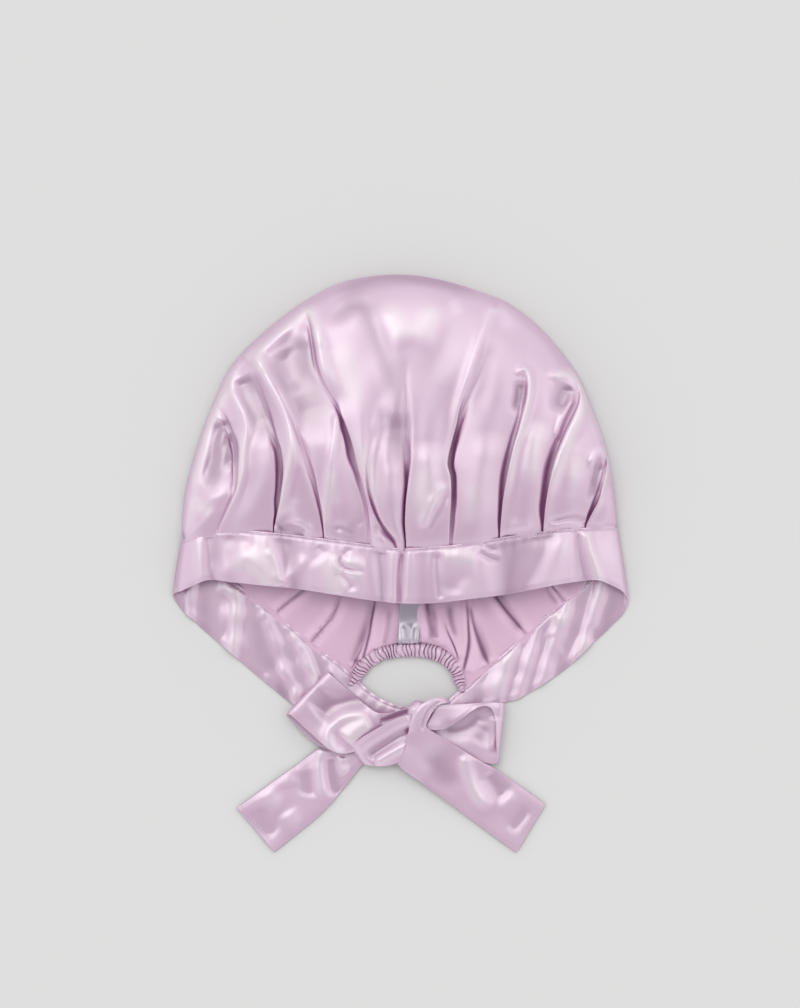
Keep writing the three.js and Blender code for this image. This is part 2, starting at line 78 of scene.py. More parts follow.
def catmull(points, count):  # a curve through the points at evenly spaced shares of the list
    points = np.asarray(points, float)
    padded = np.vstack([2 * points[0] - points[1], points, 2 * points[-1] - points[-2]])
    u = np.linspace(0, len(points) - 1, count)
    k = np.minimum(u.astype(int), len(points) - 2)
    f = (u - k)[:, None]
    a, b, c, d = padded[k], padded[k + 1], padded[k + 2], padded[k + 3]
    return 0.5 * (2 * b + (c - a) * f + (2 * a - 5 * b + 4 * c - d) * f**2 + (3 * b - a - 3 * c + d) * f**3)


def lengths(line):  # the length of a line of places up to each of them
    return np.concatenate([[0], np.cumsum(np.linalg.norm(np.diff(line, axis=0), axis=1))])


def readAt(table, run, spots):  # every column of a table, read at spots along its run
    return np.stack([np.interp(spots, run, column) for column in table.T], axis=-1)


def along(points, shares):  # places at shares of a smooth curve's length
    curve = catmull(points, curveSteps)
    run = lengths(curve)
    return readAt(curve, run, np.asarray(shares) * run[-1])


def shareNear(points, place):  # the share of a curve's length nearest to a place
    curve = catmull(points, curveSteps)
    run = lengths(curve)
    return run[np.argmin(np.linalg.norm(curve - place, axis=1))] / run[-1]


def normalsOf(grid):
    normal = np.cross(np.gradient(grid, axis=0), np.gradient(grid, axis=1))
    return normal / np.maximum(np.linalg.norm(normal, axis=2, keepdims=True), 1e-9)


def ripple(x, y, size, seed, stretch=1.0, count=14):  # soft folds of about that size, from -1 to 1
    draw = np.random.default_rng(seed)
    total = np.zeros(np.shape(x))
    for _ in range(count):
        angle = draw.uniform(0, math.pi)
        wave = 2 * math.pi / (size * draw.uniform(0.7, 1.6))
        phase = draw.uniform(0, 2 * math.pi)
        total += np.sin(wave * (x * math.cos(angle) + y * math.sin(angle) / stretch) + phase)
    return total / math.sqrt(count)


# Height in mm at places, from folds drawn over the photograph. Each fold is a row of its width and height in
# mm, the shares of it that fade in and out, its pixels and, unless it is a plain swell, its kind and how
# narrow that is for its width
def strokes(xy, folds, widen=1.0, raised=1.0):
    flat = xy.reshape(-1, 2)
    total = np.zeros(len(flat))
    for wide, high, fadeIn, fadeOut, points, *kind in folds:
        line = catmull(traced(points), 6 * len(points))
        run = lengths(line)
        wide = widen * wide
        reach = 3.5 * wide
        spots = np.nonzero(np.all((flat > line.min(0) - reach) & (flat < line.max(0) + reach), axis=1))[0]
        best = np.full(len(spots), 1e9)
        share = np.zeros(len(spots))
        side = np.ones(len(spots))
        for k in range(len(line) - 1):
            step = line[k + 1] - line[k]
            away = flat[spots] - line[k]
            t = np.clip(away @ step / (step @ step), 0, 1)
            off = away - t[:, None] * step
            distance = np.hypot(off[:, 0], off[:, 1])
            closer = distance < best
            best = np.where(closer, distance, best)
            share = np.where(closer, (run[k] + t * (run[k + 1] - run[k])) / run[-1], share)
            side = np.where(closer, np.sign(step[0] * away[:, 1] - step[1] * away[:, 0]), side)
        q = best / wide
        form = np.exp(-(q**2))
        if "slit" in kind:  # a swell parted by a narrow dark gap
            form *= 1 - 1.05 * np.exp(-((q / kind[1]) ** 2))
        if "lap" in kind:  # the left of the line stands over its right
            form *= side * np.tanh(q / kind[1])
        total[spots] += raised * high * form * smooth(share / fadeIn) * smooth((1 - share) / fadeOut)
    return total.reshape(xy.shape[:-1])


def placed(name, data):
    piece = bpy.data.objects.new(name, data)
    bpy.context.scene.collection.objects.link(piece)
    return piece


def meshPiece(name, places, faces, material):  # a smooth piece from places in mm
    mesh = bpy.data.meshes.new(name)
    mesh.from_pydata((places * mm).tolist(), [], faces)
    mesh.polygons.foreach_set("use_smooth", np.ones(len(mesh.polygons), bool))
    mesh.materials.append(material)
    return placed(name, mesh)


# A grid of rows by columns, in mm; reliefAndPaintedLight is how far each place stands over the cloth's broad
# shape, with zones added only for painted shade and painted highlight; the material paints shade where it is
# low and highlight where it is high
def sheetMesh(name, grid, material, wrap=False, reliefAndPaintedLight=None):
    rows, columns = grid.shape[:2]
    index = np.arange(rows * columns).reshape(rows, columns)
    if wrap:
        index = np.hstack([index, index[:, :1]])
    quads = np.stack([index[:-1, :-1], index[:-1, 1:], index[1:, 1:], index[1:, :-1]], axis=-1).reshape(-1, 4)
    piece = meshPiece(name, grid.reshape(-1, 3), quads.tolist(), material)
    if reliefAndPaintedLight is not None:
        stored = piece.data.attributes.new("reliefAndPaintedLight", "FLOAT", "POINT")
        stored.data.foreach_set("value", np.asarray(reliefAndPaintedLight, np.float32).ravel())
    return piece


def thicken(piece, thickness, inner=None):
    if inner:
        piece.data.materials.append(inner)
    solid = piece.modifiers.new("thickness", "SOLIDIFY")
    solid.thickness = thickness * mm
    solid.offset = -1
    solid.material_offset = 1 if inner else 0
    bpy.context.view_layer.update()
    graph = bpy.context.evaluated_depsgraph_get()
    made = bpy.data.meshes.new_from_object(piece.evaluated_get(graph))
    piece.modifiers.clear()
    old = piece.data
    piece.data = made
    bpy.data.meshes.remove(old)
    made.name = piece.name
    return piece


# Materials
def addNode(tree, kind, inputs, **settings):  # inputs are values, or the sockets that feed them
    node = tree.nodes.new("ShaderNode" + kind)
    for key, value in settings.items():
        setattr(node, key, value)
    for socket, value in inputs.items():
        if isinstance(value, bpy.types.NodeSocket):
            tree.links.new(value, node.inputs[socket])
        else:
            node.inputs[socket].default_value = value
    return node


def newGroup(name, inputs, outputs):
    group = bpy.data.node_groups.new(name, "ShaderNodeTree")
    for label, value, low, high in inputs:
        socket = group.interface.new_socket(name=label, in_out="INPUT", socket_type="NodeSocketFloat")
        socket.default_value = value
        socket.min_value = low
        socket.max_value = high
    for label in outputs:
        group.interface.new_socket(name=label, in_out="OUTPUT", socket_type="NodeSocketFloat")
    return group, group.nodes.new("NodeGroupInput"), group.nodes.new("NodeGroupOutput")


def buildWeave():  # fine floats of thread and the soft unevenness of satin
    group, given, result = newGroup(
        "satinWeave", [("Scale", 1.0, 0.1, 10), ("Unevenness", 0.5, 0, 1)], ["Height", "Tone"])
    place = addNode(group, "TexCoord", {}).outputs["Object"]
    stretched = addNode(group, "Mapping", {"Vector": place, "Scale": (2600, 520, 2600)})
    floats = addNode(group, "TexNoise", {
        "Vector": stretched.outputs["Vector"], "Scale": given.outputs["Scale"], "Detail": 2,
    })
    slub = addNode(group, "TexNoise", {"Vector": place, "Scale": 130, "Detail": 3})
    both = addNode(group, "Mix", {
        "Factor": given.outputs["Unevenness"], "A": floats.outputs["Fac"], "B": slub.outputs["Fac"],
    }, data_type="FLOAT")
    group.links.new(both.outputs["Result"], result.inputs["Height"])
    group.links.new(slub.outputs["Fac"], result.inputs["Tone"])
    return group


def buildPaintedFoldShade():  # painted shade: ambient occlusion darkens the colour where a place lies deep in a fold
    group, given, result = newGroup(
        "paintedFoldShade", [("Reach", 0.008, 0.001, 0.05), ("Strength", 1.0, 0, 3)], ["Mask"])
    hollow = addNode(group, "AmbientOcclusion", {
        "Distance": given.outputs["Reach"],
    }, samples=6, only_local=True)
    shut = addNode(group, "Math", {0: 1.0, 1: hollow.outputs["AO"]}, operation="SUBTRACT")
    scaled = addNode(group, "Math", {
        0: shut.outputs["Value"], 1: given.outputs["Strength"],
    }, operation="MULTIPLY", use_clamp=True)
    group.links.new(scaled.outputs["Value"], result.inputs["Mask"])
    return group


satinWeave = buildWeave()
paintedFoldShade = buildPaintedFoldShade()
# Painted shade and painted highlight from a fold's height in mm: the colour is painted deeper from sunkFrom
# down to sunkTo, and paler where it is raised
paintedFoldLight = {"sunkFrom": 0.6, "sunkTo": -3.0, "deepest": 0.8, "raisedFrom": 0.5, "raisedTo": 2.6}


def linear(red, green, blue):  # from the 0 to 255 colours of a picture
    share = np.array([red, green, blue]) / 255
    value = np.where(share <= 0.04045, share / 12.92, ((share + 0.055) / 1.055) ** 2.4)
    return (*value.tolist(), 1.0)


def cloth(name, look):
    material = bpy.data.materials.new(name)
    material.use_nodes = True
    tree = material.node_tree
    shader = tree.nodes["Principled BSDF"]
    for socket, key in [
        ("Sheen Weight", "sheen"), ("Sheen Roughness", "sheenRoughness"),
        ("IOR", "ior"), ("Metallic", "metallic"), ("Specular IOR Level", "specular"),
        ("Coat IOR", "coatIor"), ("Coat Roughness", "coatRoughness"),
    ]:
        if key in look:
            shader.inputs[socket].default_value = look[key]
    weave = addNode(tree, "Group", {}, node_tree=satinWeave)
    weave.inputs["Scale"].default_value = look.get("weaveScale", 1)
    weave.inputs["Unevenness"].default_value = 0.5
    weaveTone = weave.outputs["Tone"]
    # painted shade: an ambient occlusion mask darkens the base colour towards the deep colour in folds
    foldShadeNode = addNode(tree, "Group", {}, node_tree=paintedFoldShade)
    foldShadeNode.inputs["Reach"].default_value = look.get("reach", 0.008)
    foldShadeNode.inputs["Strength"].default_value = look.get("hollow", 1)
    foldShadeMask = foldShadeNode.outputs["Mask"]
    # painted shade where the relief is low, painted highlight where it is raised
    reliefAndPaintedLight = addNode(tree, "Attribute", {}, attribute_name="reliefAndPaintedLight").outputs["Fac"]
    sunk = addNode(tree, "MapRange", {
        "Value": reliefAndPaintedLight, "From Min": paintedFoldLight["sunkFrom"], "From Max": paintedFoldLight["sunkTo"],
        "To Max": paintedFoldLight["deepest"],
    })
    deeper = addNode(tree, "Math", {0: sunk.outputs["Result"], 1: foldShadeMask}, operation="MAXIMUM")
    raised = addNode(tree, "MapRange", {
        "Value": reliefAndPaintedLight, "From Min": paintedFoldLight["raisedFrom"], "From Max": paintedFoldLight["raisedTo"],
    })
    paintedHighlight = addNode(tree, "Mix", {}, data_type="RGBA")
    paintedHighlight.inputs["A"].default_value = linear(*look["color"])
    paintedHighlight.inputs["B"].default_value = linear(*look.get("pale", look["color"]))
    tree.links.new(raised.outputs["Result"], paintedHighlight.inputs["Factor"])
    shade = addNode(tree, "Mix", {
        "Factor": deeper.outputs["Value"], "A": paintedHighlight.outputs["Result"], "B": linear(*look["deep"]),
    }, data_type="RGBA")
    greyer = addNode(tree, "MapRange", {"Value": weaveTone, "To Min": 0.86, "To Max": 1.1})
    vary = addNode(tree, "Mix", {
        "Factor": look.get("mottle", 0.25), "A": shade.outputs["Result"], "B": greyer.outputs["Result"],
    }, data_type="RGBA", blend_type="MULTIPLY")
    tree.links.new(vary.outputs["Result"], shader.inputs["Base Color"])
    # the coat's sheen is dimmed where the painted shade mask is strong, a painted dimming of reflections in
    # folds
    if "coat" in look:
        shine = addNode(tree, "MapRange", {
            "Value": foldShadeMask, "To Min": look["coat"], "To Max": look["coat"] * 0.15,
        })
        tree.links.new(shine.outputs["Result"], shader.inputs["Coat Weight"])
    rough = addNode(tree, "MapRange", {
        "Value": weaveTone, "To Min": look["roughness"] - 0.04, "To Max": look["roughness"] + 0.04,
    })
    tree.links.new(rough.outputs["Result"], shader.inputs["Roughness"])
    bump = addNode(tree, "Bump", {
        "Height": weave.outputs["Height"], "Strength": look.get("bump", 0.15), "Distance": 0.0002,
    })
    tree.links.new(bump.outputs["Normal"], shader.inputs["Normal"])
    return material


# deep is a painted shade colour for folds and hollows, and pale a painted highlight colour for raised folds
satin = cloth("lilacSatin", {
    "color": (206, 161, 196), "deep": (130, 54, 116), "pale": (216, 190, 210), "roughness": 0.45,
    "specular": 0.5, "coat": 1.0, "coatIor": 3.5, "coatRoughness": 0.37, "metallic": 0.1,
    "hollow": 0.9, "reach": 0.013, "bump": 0.06, "mottle": 0.2,
})
# deep is a painted shade colour for the folds of the inner face
satinReverse = cloth("satinReverse", {
    "color": (230, 194, 220), "deep": (104, 54, 96), "roughness": 0.5, "specular": 0.6, "sheen": 0.15,
    "sheenRoughness": 0.5, "hollow": 1.1, "reach": 0.006, "bump": 0.12, "mottle": 0.3,
})
print("materials made")

# Camera, floor and lights
stage = {
    "floor": (220, 220, 220), "size": 12.0, "filmWidth": 36,
    # how bright the room is, from the horizon up to straight overhead
    "room": [(0, 0.95), (0.4, 1.1), (0.65, 0.88), (0.8, 0.6), (0.9, 0.44), (1, 0.38)],
    "suns": [  # name, where it stands, strength, angular size in degrees
        ("key", (-0.34, 0.3, 0.89), 0.56, 36),
        ("right", (0.5, 0.15, 0.85), 0.22, 28),
        ("top", (0.1, 0.52, 0.85), 0.24, 32),
    ],
    "sunColour": (1.0, 0.99, 0.98),
}
camera = placed("camera", bpy.data.cameras.new("camera"))
camera.data.sensor_width = stage["filmWidth"]
camera.data.lens = stage["filmWidth"] * photo["cameraHeight"] / (photo["height"] * photo["pixel"])
camera.location = (*at(photo["width"] / 2, photo["height"] / 2) * mm, photo["cameraHeight"] * mm)
bpy.context.scene.camera = camera

floorMaterial = bpy.data.materials.new("paleFloor")
floorMaterial.use_nodes = True
floorShader = floorMaterial.node_tree.nodes["Principled BSDF"]
floorShader.inputs["Base Color"].default_value = linear(*stage["floor"])
floorShader.inputs["Roughness"].default_value = 0.9
floorShader.inputs["Specular IOR Level"].default_value = 0.1
half = stage["size"] / 2
corners = [(-half, -half, 0), (half, -half, 0), (half, half, 0), (-half, half, 0)]
floor = bpy.data.meshes.new("floor")
floor.from_pydata(corners, [], [(0, 1, 2, 3)])
floor.materials.append(floorMaterial)
floorPiece = placed("floor", floor)
floorPiece.location.z = -0.0002

# A pale room: bright screens all round at half height, and a dimmer ceiling over the camera
world = bpy.data.worlds.new("studio")
world.use_nodes = True
background = world.node_tree.nodes["Background"]
direction = addNode(world.node_tree, "TexCoord", {})
split = addNode(world.node_tree, "SeparateXYZ", {"Vector": direction.outputs["Generated"]})
room = addNode(world.node_tree, "ValToRGB", {"Fac": split.outputs["Z"]})
room.color_ramp.interpolation = "EASE"
while len(room.color_ramp.elements) < len(stage["room"]):
    room.color_ramp.elements.new(0.5)
for element, (place, value) in zip(room.color_ramp.elements, stage["room"]):
    element.position = place
    element.color = (value, value, value, 1)
world.node_tree.links.new(room.outputs["Color"], background.inputs["Strength"])
background.inputs["Color"].default_value = (1, 1, 1, 1)
bpy.context.scene.world = world
bpy.context.scene.view_settings.view_transform = "Standard"
for name, place, strength, size in stage["suns"]:
    lamp = bpy.data.lights.new(name, "SUN")
    lamp.angle = math.radians(size)
    lamp.energy = strength
    lamp.color = stage["sunColour"]
    lampPiece = placed(name, lamp)
    lampPiece.location = Vector(place) * 2
    lampPiece.rotation_mode = "QUATERNION"
    lampPiece.rotation_quaternion = (-Vector(place)).to_track_quat("-Z", "Y")
print("camera, floor and lights set")

# Crown: heights in mm; shares run from the seam at the brow up to the fold at the top
crown = {
    "thickness": 0.5, "rows": 140, "backRows": 110, "panelColumns": 16, "pleatColumns": 23,
    "domeHeight": 30, "browHeight": 23.6, "tipHeight": 3.6, "foldHeight": 2.2, "topShare": 0.42,
    "archPower": 2.4, "archRoot": 0.6, "rollPower": 3.0, "margin": 0.004,
    # what the pleats keep of the widths and depths below, and how far a lip's shoulder runs on
    "pleatWidth": 0.72, "pleatDepth": 0.62, "shoulder": 9.5,
    # how far the gathered edge runs on under the band, and how it dips there and lifts at its rim
    "underBand": 5, "edgeShare": 0.04, "dip": 3.0, "dipShare": 0.035, "rimLift": 1.0, "rimShare": 0.012,
    "puffs": [(0, 1.6), (0.1, 2.2), (0.4, 1.8), (0.6, 0.8), (0.8, 0.2), (1, 0)],
    "foldLine": [
        (182, 543), (183, 516), (185.5, 492), (192, 466), (198.5, 444), (207, 420), (217, 396), (229, 371),
        (247, 349), (275, 324), (307, 301), (340, 284), (376, 276.5), (413, 276), (450, 283), (484, 294),
        (508, 304), (535, 324), (558, 349), (578, 377), (592, 410), (603, 440), (610, 470), (614.5, 500),
        (616.5, 526),
    ],
    "seamLine": [
        (182, 543), (208, 530), (250, 530), (285, 533.5), (320, 537.5), (365, 543.5), (407, 547.5),
        (445, 545), (482, 541), (520, 534), (560, 529), (585, 527), (616.5, 526),
    ],
}
# Each pleat: the line of its lip from the seam up to the fold; which side laps over the other (1 right,
# -1 left); and pairs along it of the recess's width, its depth, the lip's height, its far shoulder, and how
# sharp it is
crown["pleats"] = [
    {
        "over": 1,
        "lip": [
            (218, 530), (229, 505), (235.5, 489), (237.5, 470), (238, 450), (235, 438), (229, 424),
            (222, 412), (212, 403.5),
        ],
        "wide": [(0, 0.6), (0.25, 1.2), (0.36, 5), (0.6, 8), (0.8, 7), (0.93, 3), (1, 2)],
        "deep": [(0, 1.2), (0.25, 1.6), (0.4, 3.6), (0.62, 4.4), (0.8, 3.4), (0.93, 1), (1, 0)],
        "lift": [(0, 0.6), (0.3, 0.8), (0.6, 0.8), (0.85, 0.4), (1, 0)],
        "soft": [(0, 4), (0.5, 3), (1, 3)],
        "sharp": [(0, 0.7), (0.3, 0.5), (0.5, 0.85), (0.75, 0.8), (0.9, 0.2), (1, 0)],
    },
    {
        "over": 1,
        "lip": [
            (273.6, 531.5), (277, 515), (281, 495), (283.4, 472), (281.6, 451), (276.5, 437), (270.7, 418),
            (263.8, 397), (256, 380), (246, 366), (236, 358.5),
        ],
        "wide": [(0, 0.5), (0.08, 1.7), (0.2, 5), (0.34, 6.2), (0.46, 5.6), (0.6, 5), (1, 3)],
        "deep": [
            (0, 3), (0.1, 6), (0.3, 8), (0.45, 6), (0.58, 3), (0.72, 1.4), (0.85, 0.4), (0.93, 0), (1, 0),
        ],
        "lift": [(0, 0.6), (0.3, 0.8), (0.6, 0.2), (0.7, 0), (1, 0)],
        "soft": [(0, 1), (0.3, 1.4), (0.5, 5), (0.7, 9), (1, 9)],
        "sharp": [(0, 1), (0.42, 1), (0.58, 0.3), (0.7, 0), (1, 0)],
    },
    {
        "over": 1,
        "lip": [
            (325.5, 538.5), (323, 515), (318, 489), (313, 470), (306, 449), (298, 429), (291, 413),
            (283, 397), (274, 380), (264, 363), (252.5, 343.5),
        ],
        "wide": [(0, 0.5), (0.1, 1.4), (0.25, 3), (0.4, 5), (0.7, 5), (1, 3)],
        "deep": [(0, 2.6), (0.12, 3.8), (0.28, 3), (0.42, 2), (0.7, 1.2), (0.85, 0.3), (0.93, 0), (1, 0)],
        "lift": [(0, 0.8), (0.25, 0.8), (0.45, 0.1), (0.6, 0), (1, 0)],
        "soft": [(0, 2), (0.2, 5), (0.5, 7), (1, 7)],
        "sharp": [(0, 1), (0.2, 0.9), (0.34, 0.5), (0.46, 0), (1, 0)],
    },
    {
        "over": 1,
        "lip": [
            (369.4, 544), (368, 522), (366.5, 506), (363, 492), (359.5, 476), (356, 461), (352, 445),
            (347, 430), (341, 415), (335, 402), (327.5, 390), (321, 378), (316, 363), (313, 345),
            (310, 327), (306.5, 312), (302, 304),
        ],
        "wide": [
            (0, 1), (0.2, 2), (0.27, 3.4), (0.36, 6), (0.46, 4.6), (0.53, 2.4), (0.6, 2), (0.8, 1.6),
            (1, 1),
        ],
        "deep": [
            (0, 1.4), (0.2, 2), (0.28, 4), (0.4, 6.5), (0.48, 5.6), (0.54, 3.4), (0.6, 1.6), (0.68, 1.4),
            (0.76, 2.2), (0.86, 2.6), (0.94, 0.8), (0.98, 0), (1, 0),
        ],
        "lift": [(0, 0.6), (0.3, 0.8), (0.5, 1), (0.6, 0.2), (0.7, 0.2), (0.8, 0.6), (0.92, 0.4), (1, 0)],
        "soft": [(0, 4), (0.3, 3), (0.42, 1), (0.54, 2), (0.66, 5), (1, 6)],
        "sharp": [
            (0, 0.2), (0.24, 0.5), (0.32, 1), (0.52, 1), (0.6, 0.3), (0.68, 0.2), (0.76, 0.7), (0.9, 0.6),
            (1, 0),
        ],
    },
    {
        "over": 1,
        "lip": [
            (400.5, 546), (386, 528), (377, 514), (371.5, 500), (368.5, 486), (368, 470), (370, 452),
            (374, 434), (378, 416), (378, 400), (374, 384), (370, 358), (364, 330), (356, 304),
            (348, 281.5),
        ],
        "wide": [(0, 1.2), (0.08, 3), (0.2, 2.4), (0.5, 3), (1, 3)],
        "deep": [(0, 2.5), (0.08, 3.4), (0.16, 2.4), (0.25, 1.2), (0.36, 0.6), (0.48, 0), (1, 0)],
        "lift": [(0, 0.8), (0.2, 1.2), (0.36, 0.6), (0.48, 0), (1, 0)],
        "soft": [(0, 3), (0.1, 4), (0.3, 6), (1, 8)],
        "sharp": [(0, 0.8), (0.1, 0.7), (0.2, 0.3), (0.34, 0), (1, 0)],
    },
    {
        "over": 1,
        "lip": [
            (406, 547.5), (405, 533), (404.4, 520), (405.5, 500), (407.4, 483), (408.4, 470), (408.4, 458),
            (408, 440), (407.5, 414), (407.3, 391), (408, 360), (410, 330), (411.5, 300), (412, 276),
        ],
        "wide": [(0, 0.7), (0.1, 0.9), (0.2, 1.6), (0.3, 3.4), (0.4, 4), (0.6, 4), (1, 4)],
        "deep": [
            (0, 5), (0.1, 7), (0.25, 6), (0.33, 3.4), (0.42, 2), (0.52, 1.2), (0.62, 0.4), (0.7, 0), (1, 0),
        ],
        "lift": [(0, 0.7), (0.3, 1), (0.45, 0.3), (0.6, 0), (1, 0)],
        "soft": [(0, 5), (0.2, 6), (0.5, 8), (1, 8)],
        "sharp": [(0, 1), (0.24, 1), (0.36, 0.4), (0.46, 0), (1, 0)],
    },
    {
        "over": -1,
        "lip": [
            (450.3, 545), (451, 518), (452, 500), (451, 478), (448, 463), (452.5, 441), (457.8, 422),
            (463.5, 402), (470, 382), (477.5, 355), (483, 330), (487, 308), (487.5, 295),
        ],
        "wide": [(0, 1.4), (0.1, 3), (0.2, 3.6), (0.33, 4.8), (0.4, 4.4), (0.5, 4), (0.65, 6), (1, 6)],
        "deep": [
            (0, 3), (0.1, 4.5), (0.2, 7), (0.38, 8), (0.48, 4.6), (0.6, 2), (0.8, 1), (0.92, 0.3), (1, 0),
        ],
        "lift": [(0, 0.4), (0.3, 1.2), (0.5, 0.8), (0.65, 0.2), (0.8, 0), (1, 0)],
        "soft": [(0, 3), (0.35, 1), (0.5, 5), (0.7, 9), (1, 9)],
        "sharp": [(0, 0.5), (0.15, 0.7), (0.25, 1), (0.46, 1), (0.54, 0.4), (0.64, 0), (1, 0)],
    },
    {
        "over": 1,
        "lip": [
            (498.7, 538), (500.4, 512), (502, 495), (504.5, 478), (508, 460), (512, 443), (516, 428),
            (520, 412), (523.5, 397), (524.5, 384), (524, 366), (526.5, 342), (533.5, 322.5),
        ],
        "wide": [
            (0, 0.8), (0.1, 2.3), (0.3, 4.2), (0.46, 3.4), (0.56, 2.2), (0.67, 3), (0.76, 2.4), (1, 2),
        ],
        "deep": [
            (0, 3.5), (0.12, 5.5), (0.32, 6.5), (0.46, 4.5), (0.58, 2.6), (0.67, 2.6), (0.74, 1), (0.79, 0),
            (1, 0),
        ],
        "lift": [(0, 0.8), (0.3, 1), (0.6, 0.8), (0.72, 0.4), (0.78, 0), (1, 0)],
        "soft": [(0, 2), (0.4, 3), (0.6, 4), (0.8, 5), (1, 6)],
        "sharp": [(0, 1), (0.4, 0.8), (0.55, 0.5), (0.68, 0.5), (0.76, 0), (1, 0)],
    },
    {
        "over": 1,
        "lip": [
            (542.6, 532), (544.6, 506), (548, 483), (551.5, 466), (556.5, 449), (563, 433), (570, 419),
            (576, 406), (578, 395), (577, 384), (576, 374.5),
        ],
        "wide": [(0, 1.2), (0.15, 4.4), (0.4, 5), (0.55, 4.4), (0.7, 5), (0.84, 6), (0.94, 3), (1, 1)],
        "deep": [
            (0, 4), (0.15, 6.5), (0.36, 7.5), (0.55, 4.4), (0.68, 3), (0.8, 3), (0.9, 1.4), (0.96, 0),
            (1, 0),
        ],
        "lift": [(0, 0.8), (0.3, 1), (0.7, 0.8), (0.9, 0.4), (1, 0)],
        "soft": [(0, 3), (0.4, 5.5), (0.6, 5), (0.8, 3), (1, 4)],
        "sharp": [(0, 1), (0.4, 0.85), (0.6, 0.5), (0.8, 0.6), (0.92, 0.2), (1, 0)],
    },
    {
        "over": 1,
        "lip": [
            (584.8, 528), (591.7, 513), (597.4, 500.6), (602, 483), (605, 468), (606, 456), (605.5, 448.5),
        ],
        "wide": [(0, 0.8), (0.15, 2.6), (0.35, 3.8), (0.6, 3), (0.8, 3.4), (0.95, 1), (1, 1)],
        "deep": [(0, 4), (0.2, 6.5), (0.45, 6), (0.6, 3.2), (0.8, 2.6), (0.94, 0.8), (1, 0)],
        "lift": [(0, 0.8), (0.4, 1), (0.8, 0.8), (1, 0)],
        "soft": [(0, 2), (0.5, 3), (1, 3)],
        "sharp": [(0, 1), (0.5, 0.8), (0.8, 0.6), (0.95, 0.1), (1, 0)],
    },
]
